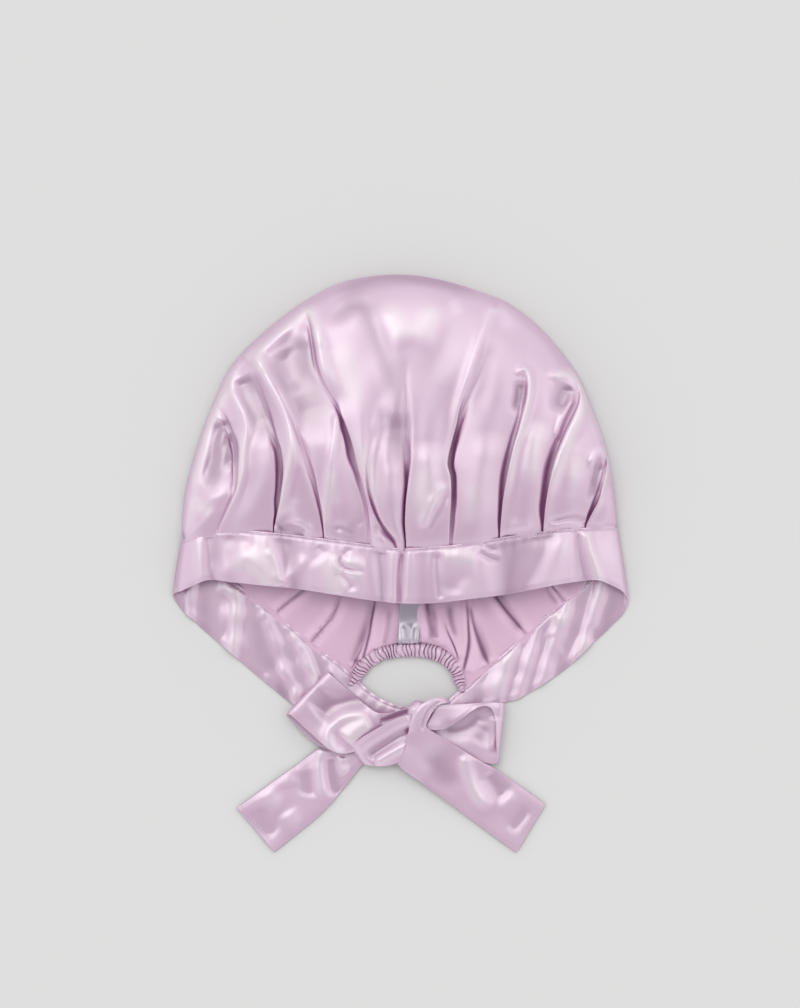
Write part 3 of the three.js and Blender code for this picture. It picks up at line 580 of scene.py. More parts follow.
# Folds of the front leaf, from its left to its right
crownFolds = [
    # The ridges that run down from the upper left, and the sunk cloth between them
    (3, 2, 0.03, 0.3, [(242, 355), (236, 362), (232, 375), (232.5, 390), (238, 403), (244.5, 415),
        (247, 428), (245, 441), (243, 456), (242.5, 472), (238.5, 490), (231.5, 507), (222, 526)]),
    (3.2, 2.3, 0.03, 0.25, [(242, 355), (251, 356), (260, 366), (269, 381), (280, 398), (288, 416),
        (292.5, 434), (292.5, 452), (289.5, 470), (285, 490), (280, 512), (277, 528)]),
    (7, -2.6, 0.15, 0.4, [(244, 374), (253, 396), (261, 420), (265, 450)]),
    (3.4, 2.3, 0.05, 0.3, [(306, 305), (297, 317), (285, 330), (271, 342.5), (261, 352), (262, 363),
        (270, 377)]),
    (3.6, 2, 0.05, 0.4, [(306, 305), (313, 317), (318, 336), (321, 355), (326, 373), (335, 390),
        (344, 406)]),
    (1.8, -0.9, 0.2, 0.4, [(308, 318), (312, 336), (315, 356), (317.5, 380)]),
    (10, -3, 0.2, 0.35, [(300, 330), (297, 350), (301, 378), (309, 410), (318, 448)]),
    (7, -1.6, 0.25, 0.4, [(278, 352), (288, 372), (298, 398)]),
    (3.6, 1.5, 0.15, 0.2, [(228, 384), (219, 403), (212, 425), (206, 450), (199, 474), (194, 495)]),
    (4.4, -2.6, 0.15, 0.2, [(220, 418), (217, 440), (211, 462), (203, 486)]),
    (2.4, -1.8, 0.3, 0.3, [(229, 432), (232, 452), (229, 472)]),
    (1.8, 1.4, 0.3, 0.4, [(223, 426), (221, 440), (218, 456)]),
    (3, 1.2, 0.3, 0.3, [(200, 492), (208, 498), (220, 497), (230, 486)]),
    # Between the second and fourth pleats
    (2.6, -1.8, 0.1, 0.5, [(276, 528), (286, 517), (297, 509)]),
    (3, 0.5, 0.3, 0.3, [(281, 518), (291, 508), (301, 500)]),
    (2.6, -2.4, 0.1, 0.2, [(278, 531), (292, 529), (308, 534)]),
    (2.4, 1.1, 0.3, 0.3, [(286, 523), (300, 525), (316, 532)]),
    (2.2, 1.3, 0.1, 0.15, [(337, 410), (336, 440), (331, 470), (328, 500), (326, 528)]),
    (2.4, -1.3, 0.3, 0.3, [(330, 531), (341, 527), (352, 532), (361, 531)]),
    (2.8, -0.7, 0.3, 0.3, [(347, 528), (356, 521), (363, 527)]),
    (1.5, -1.4, 0.3, 0.05, [(374, 522), (384, 532), (396, 543)]),
    (2, 0.9, 0.3, 0.3, [(370, 536), (378, 541), (388, 545)]),
    # The middle of the upper crown
    (2.8, 0.9, 0.3, 0.2, [(378, 398), (378.5, 412), (375, 430), (370, 450), (367, 470), (369, 490),
        (375, 508)]),
    (5, -0.6, 0.4, 0.4, [(386, 404), (386, 425), (382, 448)]),
    (5, -1.2, 0.15, 0.4, [(326, 330), (336, 317), (352, 306), (366, 308), (376, 328), (385, 352),
        (392, 380), (396, 415)]),
    (7, 0.8, 0.35, 0.4, [(382, 299), (388, 314), (398, 332), (408, 352)]),
    (7, 0.8, 0.35, 0.4, [(438, 300), (434, 314), (424, 334), (413, 354)]),
    (7, -0.8, 0.35, 0.4, [(452, 300), (449, 325), (440, 350), (430, 375), (424, 400)]),
    (5, -1.2, 0.3, 0.3, [(396, 412), (397, 440), (397, 475)]),
    (7, 0.9, 0.3, 0.3, [(390, 440), (390, 475), (396, 510)]),
    (8, 1.2, 0.3, 0.2, [(428, 440), (429, 475), (428, 515)]),
    (2.6, 1, 0.2, 0.2, [(420, 531), (427, 514), (436, 498), (445, 482)]),
    (2.4, -0.9, 0.2, 0.2, [(426, 535), (434, 518), (442, 501), (448, 488)]),
    # The ridge beside the middle's right pleat, and what falls away to its right
    (2.8, 1.5, 0.05, 0.5, [(497, 305), (489.5, 313), (485, 327), (479, 346), (471, 371), (463, 394),
        (456, 417), (450, 440)]),
    (4.4, 1.1, 0.05, 0.5, [(497, 305), (504, 310), (510, 321), (515, 338)]),
    (6, -1, 0.3, 0.4, [(494, 332), (486, 360), (481, 392), (474, 428)]),
    (7, 1.2, 0.3, 0.3, [(488, 430), (486, 465), (482, 500), (480, 525)]),
    # Hooked folds of the right side
    (2, 1.6, 0.08, 0.25, [(517, 379), (519, 373), (523.5, 371), (528, 378), (528, 395), (524, 414),
        (518, 434), (512, 456), (508, 480), (504, 506)]),
    (2.4, -1.8, 0.2, 0.4, [(519, 381), (518, 398), (514, 416)]),
    (6, 1, 0.3, 0.3, [(534, 420), (530, 455), (527, 490)]),
    (2.8, 2.1, 0.1, 0.25, [(545, 382), (555, 376), (568, 375), (578, 383), (583, 397), (579, 416),
        (568, 438), (558, 462), (552, 482), (547, 506)]),
    (4, -2.4, 0.25, 0.4, [(567, 384), (561, 398), (557, 416)]),
    (1.6, 1.3, 0.15, 0.15, [(555, 441), (560, 421), (567, 407), (574, 399)]),
    (5, 1, 0.3, 0.3, [(577, 436), (571, 462), (566, 492)]),
    (1.9, 1.6, 0.1, 0.25, [(589, 470), (593, 457), (600.5, 450), (607, 458), (605, 474), (598.5, 496),
        (590, 516)]),
    (2.2, -1.6, 0.2, 0.3, [(599, 461), (594, 482), (588, 506)]),
    (5, 1, 0.3, 0.3, [(590, 390), (601, 416), (609, 445)]),
    (1.8, -1.4, 0.2, 0.1, [(548, 523), (562, 519), (575, 518), (586, 520)]),
    (1.6, 1.2, 0.2, 0.1, [(546, 528), (562, 524), (575, 522), (584, 524)]),
    (3, 0.8, 0.3, 0.3, [(505, 523), (520, 527), (536, 523)]),
    (4, -1.5, 0.2, 0.2, [(496, 543), (520, 538.5), (545, 535), (578, 532)]),
]
crownPaintedSheenAndShade = [  # painted highlight and painted shade: broad zones that only change the colour, paler or deeper than the folds alone make them
    (8, 2, 0.3, 0.3, [(380, 300), (394, 322), (408, 346)]),
    (8, 2, 0.3, 0.3, [(440, 300), (428, 324), (413, 346)]),
    (9, 2.4, 0.3, 0.3, [(336, 334), (346, 360), (354, 390), (362, 420)]),
    (6.5, -1.8, 0.15, 0.2, [(332, 326), (350, 306), (366, 310), (376, 334), (388, 366), (396, 400),
        (398, 440), (397, 482)]),
    (6, -2.3, 0.2, 0.2, [(330, 300), (352, 290), (380, 281), (410, 278), (446, 284), (484, 298)]),
    (6.5, -5, 0.1, 0.15, [(220, 420), (223, 444), (216, 468), (206, 488)]),
    (2.4, 2, 0.1, 0.2, [(215, 406), (208, 436), (201, 466), (192, 490)]),
    (3.6, 2.6, 0.3, 0.3, [(190, 496), (203, 508), (220, 507)]),
    (5, -1.7, 0.3, 0.3, [(241, 372), (248, 390), (257, 412), (267, 438)]),
    (8, -1, 0.3, 0.3, [(302, 328), (297, 346), (300, 366)]),
    (2.6, -3.2, 0.15, 0.3, [(599, 455), (597, 470), (591, 490)]),
    (5, 1.6, 0.3, 0.3, [(590, 400), (600, 425), (609, 450)]),
    (1.8, -2.4, 0.2, 0.3, [(519, 384), (516, 398), (512, 414)]),
    (3, -2.4, 0.2, 0.3, [(572, 384), (565, 394), (561, 410)]),
    (9, -1.1, 0.3, 0.3, [(466, 316), (454, 345), (443, 375), (436, 405)]),
    (4, 1.8, 0.3, 0.3, [(450, 300), (455, 309), (458, 318)]),
    (5, 1.8, 0.3, 0.3, [(468, 478), (470, 505), (468, 530)]),
    (4.5, 2, 0.3, 0.3, [(352, 420), (361, 450), (371, 490), (384, 515)]),
    (6, 1.6, 0.3, 0.3, [(421, 460), (421, 495), (418, 530)]),
    (5, 1.8, 0.3, 0.3, [(333, 465), (336, 490), (338, 512)]),
    (4, 1.6, 0.1, 0.2, [(188, 540), (193, 505), (204, 452), (222, 398), (240, 356)]),
    (6, 1.4, 0.3, 0.3, [(524, 500), (530, 470), (538, 430), (542, 400)]),
    (5, -1.4, 0.3, 0.3, [(484, 400), (478, 425), (472, 450)]),
    (5, 1.6, 0.3, 0.3, [(568, 505), (575, 478), (584, 448)]),
    (6, -0.9, 0.3, 0.3, [(246, 505), (248, 480), (252, 455)]),
    (6, -1, 0.3, 0.3, [(296, 505), (292, 480), (294, 455)]),
]
# Back leaf: where it is sewn to the side bands and gathered on the nape casing
backLeaf = {
    "height": 0.9, "lowest": 0.62, "arcStart": 0.38, "arcEnd": 0.62, "turnRows": 6, "turnReach": 0.5,
    "leftSeam": [(182, 543), (204, 565), (231, 587), (287, 630), (326, 660), (349, 676)],
    "rightSeam": [(616.5, 526), (603, 545), (586, 583), (553, 622), (510, 654), (462, 690)],
    "nape": [(349, 676), (361, 664), (385, 647), (410, 642), (440, 647), (455, 662), (462, 690)],
}
backFolds = [
    (6, 2, 0.05, 0.5, [(276, 613), (286, 604), (300, 592.5), (316, 582)], "slit", 0.15),
    (6, 2.4, 0.05, 0.4, [(310.5, 643), (320, 631.5), (331.5, 618), (338.5, 604), (343, 590)], "slit", 0.16),
    (5, 3.2, 0.05, 0.4, [(362, 662), (364.5, 652), (369, 636), (372, 618), (375, 601),
        (377, 585)], "slit", 0.2),
    (3, 2, 0.05, 0.5, [(352, 668), (356, 660), (361, 650), (366, 636)], "slit", 0.2),
    (4.2, 1.8, 0.05, 0.5, [(376, 650), (379, 630), (384, 606)]),
    (3, 1, 0.05, 0.5, [(386, 648), (388, 632), (392, 612), (395, 592)]),
    (6, 3.6, 0.1, 0.4, [(430, 642), (431.5, 630), (428.5, 616), (426, 603), (427, 586)], "slit", 0.36),
    (2.6, 1.2, 0.05, 0.5, [(422, 642), (421.5, 628), (421, 612)]),
    (3, 1.6, 0.05, 0.5, [(442, 646), (440, 632), (438, 618), (440, 600)]),
    (4.5, 2.2, 0.05, 0.5, [(459, 660), (454, 646), (446.5, 629), (442.5, 611)], "slit", 0.16),
    (6, 3.6, 0.05, 0.4, [(463, 672), (469, 645), (468.5, 626), (466, 601), (463, 585)], "slit", 0.22),
    (6, 3, 0.03, 0.4, [(489, 665), (480, 645), (474, 627), (471, 611), (467, 590)], "slit", 0.3),
    (6, 2.6, 0.03, 0.4, [(527, 635), (517.5, 624), (506, 610.5), (495, 595), (488, 580)], "slit", 0.2),
    (4.5, 2.2, 0.03, 0.4, [(565, 602), (557, 592), (551, 584), (547, 574)], "slit", 0.2),
]
backPaintedShade = [  # painted shade beside those folds: how much deeper the colour is painted there; the cloth's height is not changed
    (2.8, -4.6, 0.08, 0.2, [(436, 640), (435, 622), (429, 606), (425, 592)]),
    (3.4, -4.4, 0.25, 0.1, [(526, 636), (514, 620), (503, 605), (492, 588)]),
    (3.8, -5, 0.2, 0.2, [(489, 668), (483, 650), (474, 626), (466, 600)]),
    (2.2, -2.4, 0.2, 0.3, [(456, 640), (451, 622), (449, 600)]),
    (3.4, -4.2, 0.1, 0.3, [(354, 668), (362, 644), (371, 614), (376, 590)]),
    (2, -2.2, 0.1, 0.3, [(384, 646), (388, 626), (391, 604)]),
    (2, -2.4, 0.2, 0.3, [(310, 644), (326, 624), (337, 604), (342, 590)]),
    (1.8, -2.2, 0.2, 0.3, [(274, 613), (294, 596), (316, 581)]),
    (2, -2, 0.3, 0.2, [(560, 606), (552, 596), (545, 583)]),
]


def archShare(across):
    return np.power(np.clip(1 - np.abs(2 * across - 1) ** crown["archPower"], 0, 1), crown["archRoot"])


def browHeightAt(across):
    return crown["tipHeight"] + (crown["browHeight"] - crown["tipHeight"]) * archShare(across)


def pleatSection(wide, deep, lift, soft, sharp):  # across a pleat that laps from the right
    tuck = min(0.45 * deep, 1.8)
    shoulder = crown["shoulder"]
    lapped = np.array([
        (-wide - soft, 0), (-wide - 0.55 * soft, -0.05 * deep), (-wide - 0.2 * soft, -0.22 * deep),
        (-wide, -0.55 * deep), (-wide * 0.86, -0.85 * deep), (-wide * 0.45, -deep), (0.4 * tuck, -deep),
        (tuck, -0.88 * deep), (tuck, -0.6 * deep), (0.45 * tuck, -0.35 * deep), (0.02, -0.16 * deep),
        (0.0, 0.35 * lift), (0.55, 0.85 * lift), (1.6, lift), (3.4, 0.72 * lift), (6.2, 0.25 * lift),
        (shoulder, 0),
    ])
    places = np.array([
        -1, -0.85, -0.7, -0.56, -0.44, -0.33, -0.23, -0.14, -0.05, 0.04, 0.13, 0.23, 0.34, 0.46, 0.62, 0.8, 1,
    ])
    left = np.exp(-(((places + 0.16) / 0.24) ** 2))
    right = np.exp(-(((places - 0.36) / 0.22) ** 2))
    across = places * np.where(places < 0, wide + soft, shoulder)
    rolled = np.stack([across, lift * right - deep * left], axis=1)
    return sharp * lapped + (1 - sharp) * rolled


def pleatRows(pleat, t, roomBefore, roomAfter):  # how far a pleat's places lie across and up, row by row
    wide, deep, lift, soft, sharp = (ease(pleat[key], t) for key in ("wide", "deep", "lift", "soft", "sharp"))
    atSeam = 0.45 + 0.55 * smooth(t / 0.045)
    if pleat["over"] < 0:
        roomBefore, roomAfter = roomAfter, roomBefore
    sections = []
    for j in range(len(t)):
        section = pleatSection(
            crown["pleatWidth"] * wide[j], crown["pleatDepth"] * deep[j] * atSeam[j], lift[j] * atSeam[j],
            soft[j], sharp[j])
        section[:, 0] *= np.where(
            section[:, 0] < 0,
            min(1, 0.45 * roomBefore[j] / (wide[j] + soft[j])),
            min(1, 0.45 * roomAfter[j] / crown["shoulder"]),
        )
        sections.append(catmull(section, crown["pleatColumns"]))
    across, up = np.moveaxis(np.array(sections), 2, 0)
    if pleat["over"] < 0:
        return -across[:, ::-1], up[:, ::-1]
    return across, up


def buildFront(t):  # the front leaf's places, its relief with painted sheen and shade, and how far along the fold each column ends
    fold, seam = traced(crown["foldLine"]), traced(crown["seamLine"])
    pleats, rows, margin = crown["pleats"], len(t), crown["margin"]
    lines = [np.repeat(seam[:1], rows, axis=0)]
    lines += [along(traced(pleat["lip"]), t) for pleat in pleats]
    lines.append(np.repeat(seam[-1:], rows, axis=0))
    lines = np.stack(lines)
    seamAt = [0, *(shareNear(seam, line[0]) for line in lines[1:-1]), 1]
    foldAt = [0, *(shareNear(fold, line[-1]) for line in lines[1:-1]), 1]
    gaps = np.linalg.norm(np.diff(lines, axis=0), axis=2)
    made = [pleatRows(pleat, t, before, after) for pleat, before, after in zip(pleats, gaps, gaps[1:])]
    gaps = np.maximum(gaps, tiny)
    inner = np.linspace(0, 1, crown["panelColumns"] + 2)[1:-1]
    places, heights = [], []
    for i, gap in enumerate(gaps):
        start, end = np.full(rows, margin), np.full(rows, 1 - margin)
        if i:
            across, up = made[i - 1]
            start = across[:, -1] / gap
            places.append(i + across / np.where(across < 0, gaps[i - 1][:, None], gap[:, None]))
            heights.append(up)
        if i < len(pleats):
            end = 1 + made[i][0][:, 0] / gap
        places.append(i + start[:, None] + (end - start)[:, None] * inner)
        heights.append(np.zeros((rows, len(inner))))
    places = np.clip(np.hstack(places), margin / 2, len(lines) - 1 - margin / 2)
    heights = np.hstack(heights)
    knots = np.arange(len(lines))
    seamShare = np.interp(places, knots, seamAt)
    foldShare = np.interp(places, knots, foldAt)
    xy = np.stack([readAt(lines[:, j], knots, places[j]) for j in range(rows)])
    deep = t[:, None, None]
    xy += (1 - deep) * (along(seam, seamShare) - readAt(lines[:, 0], knots, places))
    xy += deep * (along(fold, foldShare) - readAt(lines[:, -1], knots, places))
    t = t[:, None]
    xy[..., 1] -= crown["underBand"] * (1 - smooth(t / crown["edgeShare"]))
    arch = archShare(seamShare)
    brow = browHeightAt(seamShare)
    top = crown["tipHeight"] + (crown["domeHeight"] - crown["tipHeight"]) * arch
    share = np.clip((t - crown["topShare"]) / (1 - crown["topShare"]), 0, 1)
    rise = brow + (top - brow) * (1 - np.clip(1 - t / crown["topShare"], 0, 1) ** 2)
    turnDown = crown["foldHeight"] + (top - crown["foldHeight"]) * np.sqrt(1 - share ** crown["rollPower"])
    edge = smooth((1 - t) / crown["edgeShare"])
    pleated = heights * edge * np.minimum(1, arch * 1.6)
    drawn = strokes(xy, crownFolds, 1.35, 1.25) * smooth(arch * 1.5) * edge
    x, y = xy[..., 0], xy[..., 1]
    crumples = 0.8 * ripple(x, y, 44, 4, stretch=1.8) + 0.12 * ripple(x, y, 22, 5, stretch=2)
    dip = crown["dip"] * (1 - smooth(t / crown["dipShare"]))
    dip -= crown["rimLift"] * (1 - smooth(t / crown["rimShare"]))
    z = np.where(t < crown["topShare"], rise, turnDown) + pleated + drawn + crumples * edge * arch
    z += ease(crown["puffs"], t) * np.sin(math.pi * (places % 1)) ** 2 * arch**0.5 * edge
    z -= dip * (0.3 + 0.7 * smooth((brow - 12) / 10))
    # fold heights plus the painted sheen and shade zones, which the material turns into painted shade and
    # highlight
    reliefAndPaintedLight = drawn + pleated + strokes(xy, crownPaintedSheenAndShade)
    return np.dstack([x, y, np.maximum(z, crown["foldHeight"] - 0.4)]), reliefAndPaintedLight, foldShare[-1]


def backRimAt(share):
    left, nape, right = (traced(backLeaf[key]) for key in ("leftSeam", "nape", "rightSeam"))
    start, end = backLeaf["arcStart"], backLeaf["arcEnd"]
    onLeft = along(left, np.clip(share / start, 0, 1))
    onNape = along(nape, np.clip((share - start) / (end - start), 0, 1))
    onRight = along(right, np.clip((1 - share) / (1 - end), 0, 1))
    share = share[:, None]
    return np.where(share < start, onLeft, np.where(share > end, onRight, onNape))


def buildBack(foldPlaces, foldShare):  # from the fold, turned under, down to the side seams and the nape
    u = np.linspace(0, 1, crown["backRows"])[1:]
    u = (0.25 * u + 0.75 * (1 - (1 - u) ** 2))[:, None]
    fall = backRimAt(foldShare) - foldPlaces[:, :2]
    back = foldPlaces[None, :, :2] + u[..., None] * fall[None]
    inward = fall / np.maximum(np.linalg.norm(fall, axis=1), tiny)[:, None]
    turn = np.linspace(0, 1, backLeaf["turnRows"])[1:-1, None]
    under = foldPlaces[None, :, :2] - backLeaf["turnReach"] * np.sin(math.pi * turn)[..., None] * inward[None]
    underHeight = foldPlaces[:, 2] + (backLeaf["height"] - foldPlaces[:, 2]) * smooth(turn)
    height = backLeaf["height"] + strokes(back, backFolds, 1.0, 0.8)
    height += 0.35 * (1 + ripple(back[..., 0], back[..., 1], 30, 9)) * smooth(u / 0.2)
    height = np.maximum(height, backLeaf["lowest"]) * (1 - 0.3 * smooth((u - 0.97) / 0.03))
    # the folds' heights give painted shade and highlight, and backPaintedShade paints shade beside them
    reliefAndPaintedLight = strokes(back, backFolds, 0.8) + strokes(back, backPaintedShade)
    grid = np.concatenate([np.dstack([under, underHeight]), np.dstack([back, height])])
    return grid, np.concatenate([np.zeros(under.shape[:2]), reliefAndPaintedLight])


def buildCrown():  # rows crowd towards the seam and the fold, where the cloth turns most
    v = np.linspace(0, 1, crown["rows"])
    front, frontReliefAndPaintedLight, foldShare = buildFront(0.5 * v + 0.5 * (1 - (1 - v) ** 2))
    back, backReliefAndPaintedShade = buildBack(front[-1], foldShare)
    grid, reliefAndPaintedLight = np.concatenate([front, back]), np.concatenate([frontReliefAndPaintedLight, backReliefAndPaintedShade])
    return thicken(sheetMesh("crown", grid, satin, reliefAndPaintedLight=reliefAndPaintedLight), crown["thickness"], satinReverse)


crownPiece = buildCrown()
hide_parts("crown_front", "crown_back")
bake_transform(crownPiece)
print("crown made,", len(crownPiece.data.polygons), "faces")


# Loose ribbons: each station is one edge's pixel, the other edge's pixel, and the two edges' heights
def loft(stations, columns, rows, roundEdges=0.5):
    fine = catmull(stations, 40 * len(stations))
    run = lengths(fine[:, :4])
    picks = readAt(fine, run, np.linspace(0, run[-1], columns))
    upper = np.hstack([at(picks[:, 0], picks[:, 1]), picks[:, 4:5]])
    lower = np.hstack([at(picks[:, 2], picks[:, 3]), picks[:, 5:6]])
    v = np.linspace(0, 1, rows)
    v = (1 - roundEdges) * v + roundEdges * (0.5 - 0.5 * np.cos(math.pi * v))
    return upper[:, None] + (lower - upper)[:, None] * v[None, :, None]


def ribbonMesh(name, grid, thick, material, reliefAndPaintedLight):  # a padded ribbon round a middle surface
    steps = np.linalg.norm(np.diff(grid, axis=1), axis=2)
    across = np.hstack([np.zeros((len(grid), 1)), np.cumsum(steps, axis=1)])
    edge = np.minimum(across, across[:, -1:] - across)
    q = np.clip(edge / 0.25, 0, 1)
    halfThick = 0.5 * thick * (0.4 + 0.6 * smooth(edge / 4)) * np.sqrt(1 - (1 - q) ** 2)
    padding = normalsOf(grid) * halfThick[..., None]
    ring = np.concatenate([grid + padding, (grid - padding)[:, -2:0:-1]], axis=1)
    piece = sheetMesh(name, ring, material, True, np.concatenate([reliefAndPaintedLight, reliefAndPaintedLight[:, -2:0:-1]], axis=1))
    # Both ends are closed with a row of faces
    rows, sides = grid.shape[1], ring.shape[1]
    work = bmesh.new()
    work.from_mesh(piece.data)
    work.verts.ensure_lookup_table()
    for first in (0, (len(ring) - 1) * sides):
        low = [first] + [first + sides - k for k in range(1, rows - 1)] + [first + rows - 1]
        for k in range(rows - 1):
            corners = list(dict.fromkeys([first + k, first + k + 1, low[k + 1], low[k]]))
            if len(corners) > 2:
                work.faces.new([work.verts[c] for c in corners])
    bmesh.ops.recalc_face_normals(work, faces=work.faces)
    for face in work.faces:
        face.smooth = True
    work.to_mesh(piece.data)
    work.free()
    return piece


# Band: brow, both side bands and both ties are one doubled strip from the knot round to the knot
strip = {
    "browStitches": 1.9, "sideStitches": 2.4,  # how far the stitch rows lie from the strip's sewn edge
    "thickness": 1.2, "columns": 640, "rows": 44, "lowest": 0.75, "seed": 11,
    "leftTie": [
        (428, 706, 424, 722, 5.6, 5.2), (405, 706.5, 402, 724, 4.4, 3.4), (380, 697.5, 362, 722, 3, 2),
        (357, 679, 327, 716, 1.8, 1.4), (343, 666, 306, 712, 1.4, 1.2), (329, 655, 292, 704, 1.2, 1.1),
    ],
    "left": [
        (311, 641.5, 262, 679.5, 1.2, 1.1), (276, 613.5, 224, 647.5, 1.2, 1.1),
        (252, 594.5, 204.5, 630.5, 1.2, 1.1), (236, 582, 193.5, 620.5, 1.2, 1.1),
        (214, 566, 185, 613.5, 1.2, 1), (194, 552.5, 178, 604.5, 1.2, 1.2),
    ],
    "leftFold": [
        (183.5, 546, 173.8, 598, 2, 2.2), (182, 541.5, 174.5, 594, 4, 4.2),
    ],
    "brow": [
        (187.5, 538.5, 183, 590.5), (197, 534.5, 193, 586), (208, 530.5, 209, 580), (230, 529.5, 232, 582),
        (262, 531, 262, 585), (300, 535, 300, 589), (340, 540, 340, 595), (375, 544.5, 372, 600),
        (403, 547.5, 402, 603), (435, 546, 436, 602.5), (470, 542, 470, 598.5), (510, 535.5, 510, 593.5),
        (550, 530, 551, 585.5), (575, 528, 577, 581.5), (590, 527, 596, 580), (603, 526.5, 610, 585),
        (612, 526.5, 622, 591.5),
    ],
    "rightFold": [
        (616.8, 528.5, 627.2, 599, 3.8, 3.6), (616.5, 533, 626.5, 606, 2, 2),
    ],
    "right": [
        (612, 540, 622.5, 614.5, 1.2, 1.2), (605, 552, 613, 624, 1.2, 1.1), (596, 567, 603, 634, 1.2, 1.1),
        (587, 582, 592, 644, 1.2, 1.1), (563, 600, 568, 667, 1.2, 1.1), (540, 620.5, 546, 682.5, 1.2, 1.1),
        (525, 634, 521, 697.5, 1.2, 1.1), (505, 651.5, 504, 703, 1.2, 1.2), (489, 665, 490, 706, 1.2, 1.2),
    ],
    "rightTie": [
        (471, 682, 478, 709, 1.4, 1.4), (459, 690, 468, 712, 1.8, 1.6), (450, 698, 459, 716, 2.8, 2.2),
        (441, 706, 448, 721, 4.6, 4), (430, 713, 434, 726, 5.6, 5.2),
    ],
    # How the strip stands along its middle line: pixels across, and mm of height; and how far each of those
    # lines leans: pixels to the right for each pixel down
    "browMiddle": 568,
    "browWaves": [
        (183, 0.2), (191, 0.2), (201, 1), (214, -1.3), (228, -0.4), (250, 0.9), (270, 1.1), (291, -1.6),
        (310, 0.6), (332, 0.9), (352, 0.8), (370, 0), (381, -1.2), (394, 0.8), (401, -1.3), (408, 0.7),
        (424, -0.5), (434, -0.2), (460, 1.1), (480, 0.6), (510, -1.9), (530, -1.2), (556, 1.1), (570, 0.6),
        (580, -1), (594, 1.1), (606, 0.3), (617, 0.4),
    ],
    "browLean": [
        (183, 0.1), (271, 0.25), (300, 0.2), (350, 0.3), (400, -0.05), (486, 0.15), (534, -0.6),
        (560, -0.3), (586, 0.3), (617, 0.2),
    ],
    "sideMiddle": 620,
    "sideWaves": [
        (176, -1.6), (183, -1), (189, 1.1), (204, -1.6), (216, -0.6), (234, 1.7), (246, -0.4), (256, -1.4),
        (267, 0.7), (279, -0.8), (291, 1.3), (303, -1.3), (313, 0.9), (330, 0), (480, 0), (500, -0.8),
        (520, 1.4), (531, -0.5), (541, 0.8), (550, -0.5), (560, 1), (577, -1.3), (592, 1.5), (608, -1.5),
        (618, -1), (630, 0),
    ],
    "sideLean": [
        (176, 0), (225, 0), (240, -0.1), (275, 0.35), (310, 0.4), (490, -0.3), (600, -0.28), (630, -0.1),
    ],
}
browFolds = [
    (5, -0.9, 0.3, 0.3, [(222, 538), (240, 540), (258, 545)]),
    (6, 1.2, 0.1, 0.1, [(214, 578), (232, 566), (248, 557), (262, 568), (276, 584)]),
    (2.3, 0.8, 0.2, 0.03, [(268, 547), (274, 558), (278, 570), (279.5, 585)]),
    (4, 1.1, 0.1, 0.3, [(283, 585), (295, 571), (308, 554)]),
    (8, 0.8, 0.2, 0.1, [(318, 556), (330, 574), (342, 593)]),
    (3, -1.4, 0.1, 0.4, [(338, 555), (338.5, 565), (350, 571), (366, 573)], "lap", 0.25),
    (3.5, -1, 0.1, 0.3, [(341, 569), (349, 581), (354, 593)]),
    (3.6, 0.9, 0.3, 0.3, [(343, 561), (355, 563), (367, 564)]),
    (1.8, -0.9, 0.1, 0.5, [(319, 546), (323, 550), (326, 556)]),
    (1.8, -0.9, 0.1, 0.4, [(350, 548), (346, 553), (341, 557)]),
    (1.5, -0.9, 0.05, 0.05, [(404, 546), (400.5, 560), (398, 575), (398.5, 590), (399, 604)]),
    (2.6, -0.7, 0.1, 0.1, [(437, 553), (437, 576), (440, 600)]),
    (5, 0.9, 0.2, 0.2, [(440, 556), (458, 556), (478, 560)]),
    (6, -0.9, 0.3, 0.3, [(449, 596), (458, 580), (472, 570)]),
    (2, -1.2, 0.2, 0.4, [(479, 542), (487, 549), (497, 551)]),
    (2.2, -1.2, 0.2, 0.5, [(477, 550), (487, 556), (500, 561)]),
    (2, 1, 0.2, 0.4, [(480, 546), (490, 553), (502, 556)]),
    (4.5, -1, 0.3, 0.3, [(508, 538), (540, 536), (572, 536)]),
    (2.6, 0.8, 0.1, 0.05, [(585, 530), (588.5, 548), (595, 565), (600, 580)]),
]
sideFolds = [
    (3, -0.9, 0.2, 0.2, [(222, 588), (227.5, 600), (229, 620), (224, 643)]),
    (4, 0.7, 0.3, 0.3, [(253, 604), (258, 614), (262, 622)]),
    (5, 0.9, 0.3, 0.3, [(259, 677), (270, 676), (289, 667)]),
    (6, -1, 0.3, 0.3, [(274, 690), (284, 692), (293, 697)]),
    (3.4, -0.9, 0.3, 0.3, [(596, 625), (593, 634), (597, 641)]),
    (3.6, 0.8, 0.1, 0.3, [(551, 638), (549, 626), (552, 616), (560, 618), (563, 630)]),
    (6, 0.8, 0.3, 0.3, [(561, 661), (570, 655), (579, 655)]),
]


def wavesAt(xy, waves, lean, row):  # height from a table of pixels across, each leaning from a row of pixels
    across = xy[..., 0] / photo["pixel"] + photo["originX"]
    down = photo["originY"] - xy[..., 1] / photo["pixel"]
    return ease(waves, across - ease(lean, across) * (down - row))


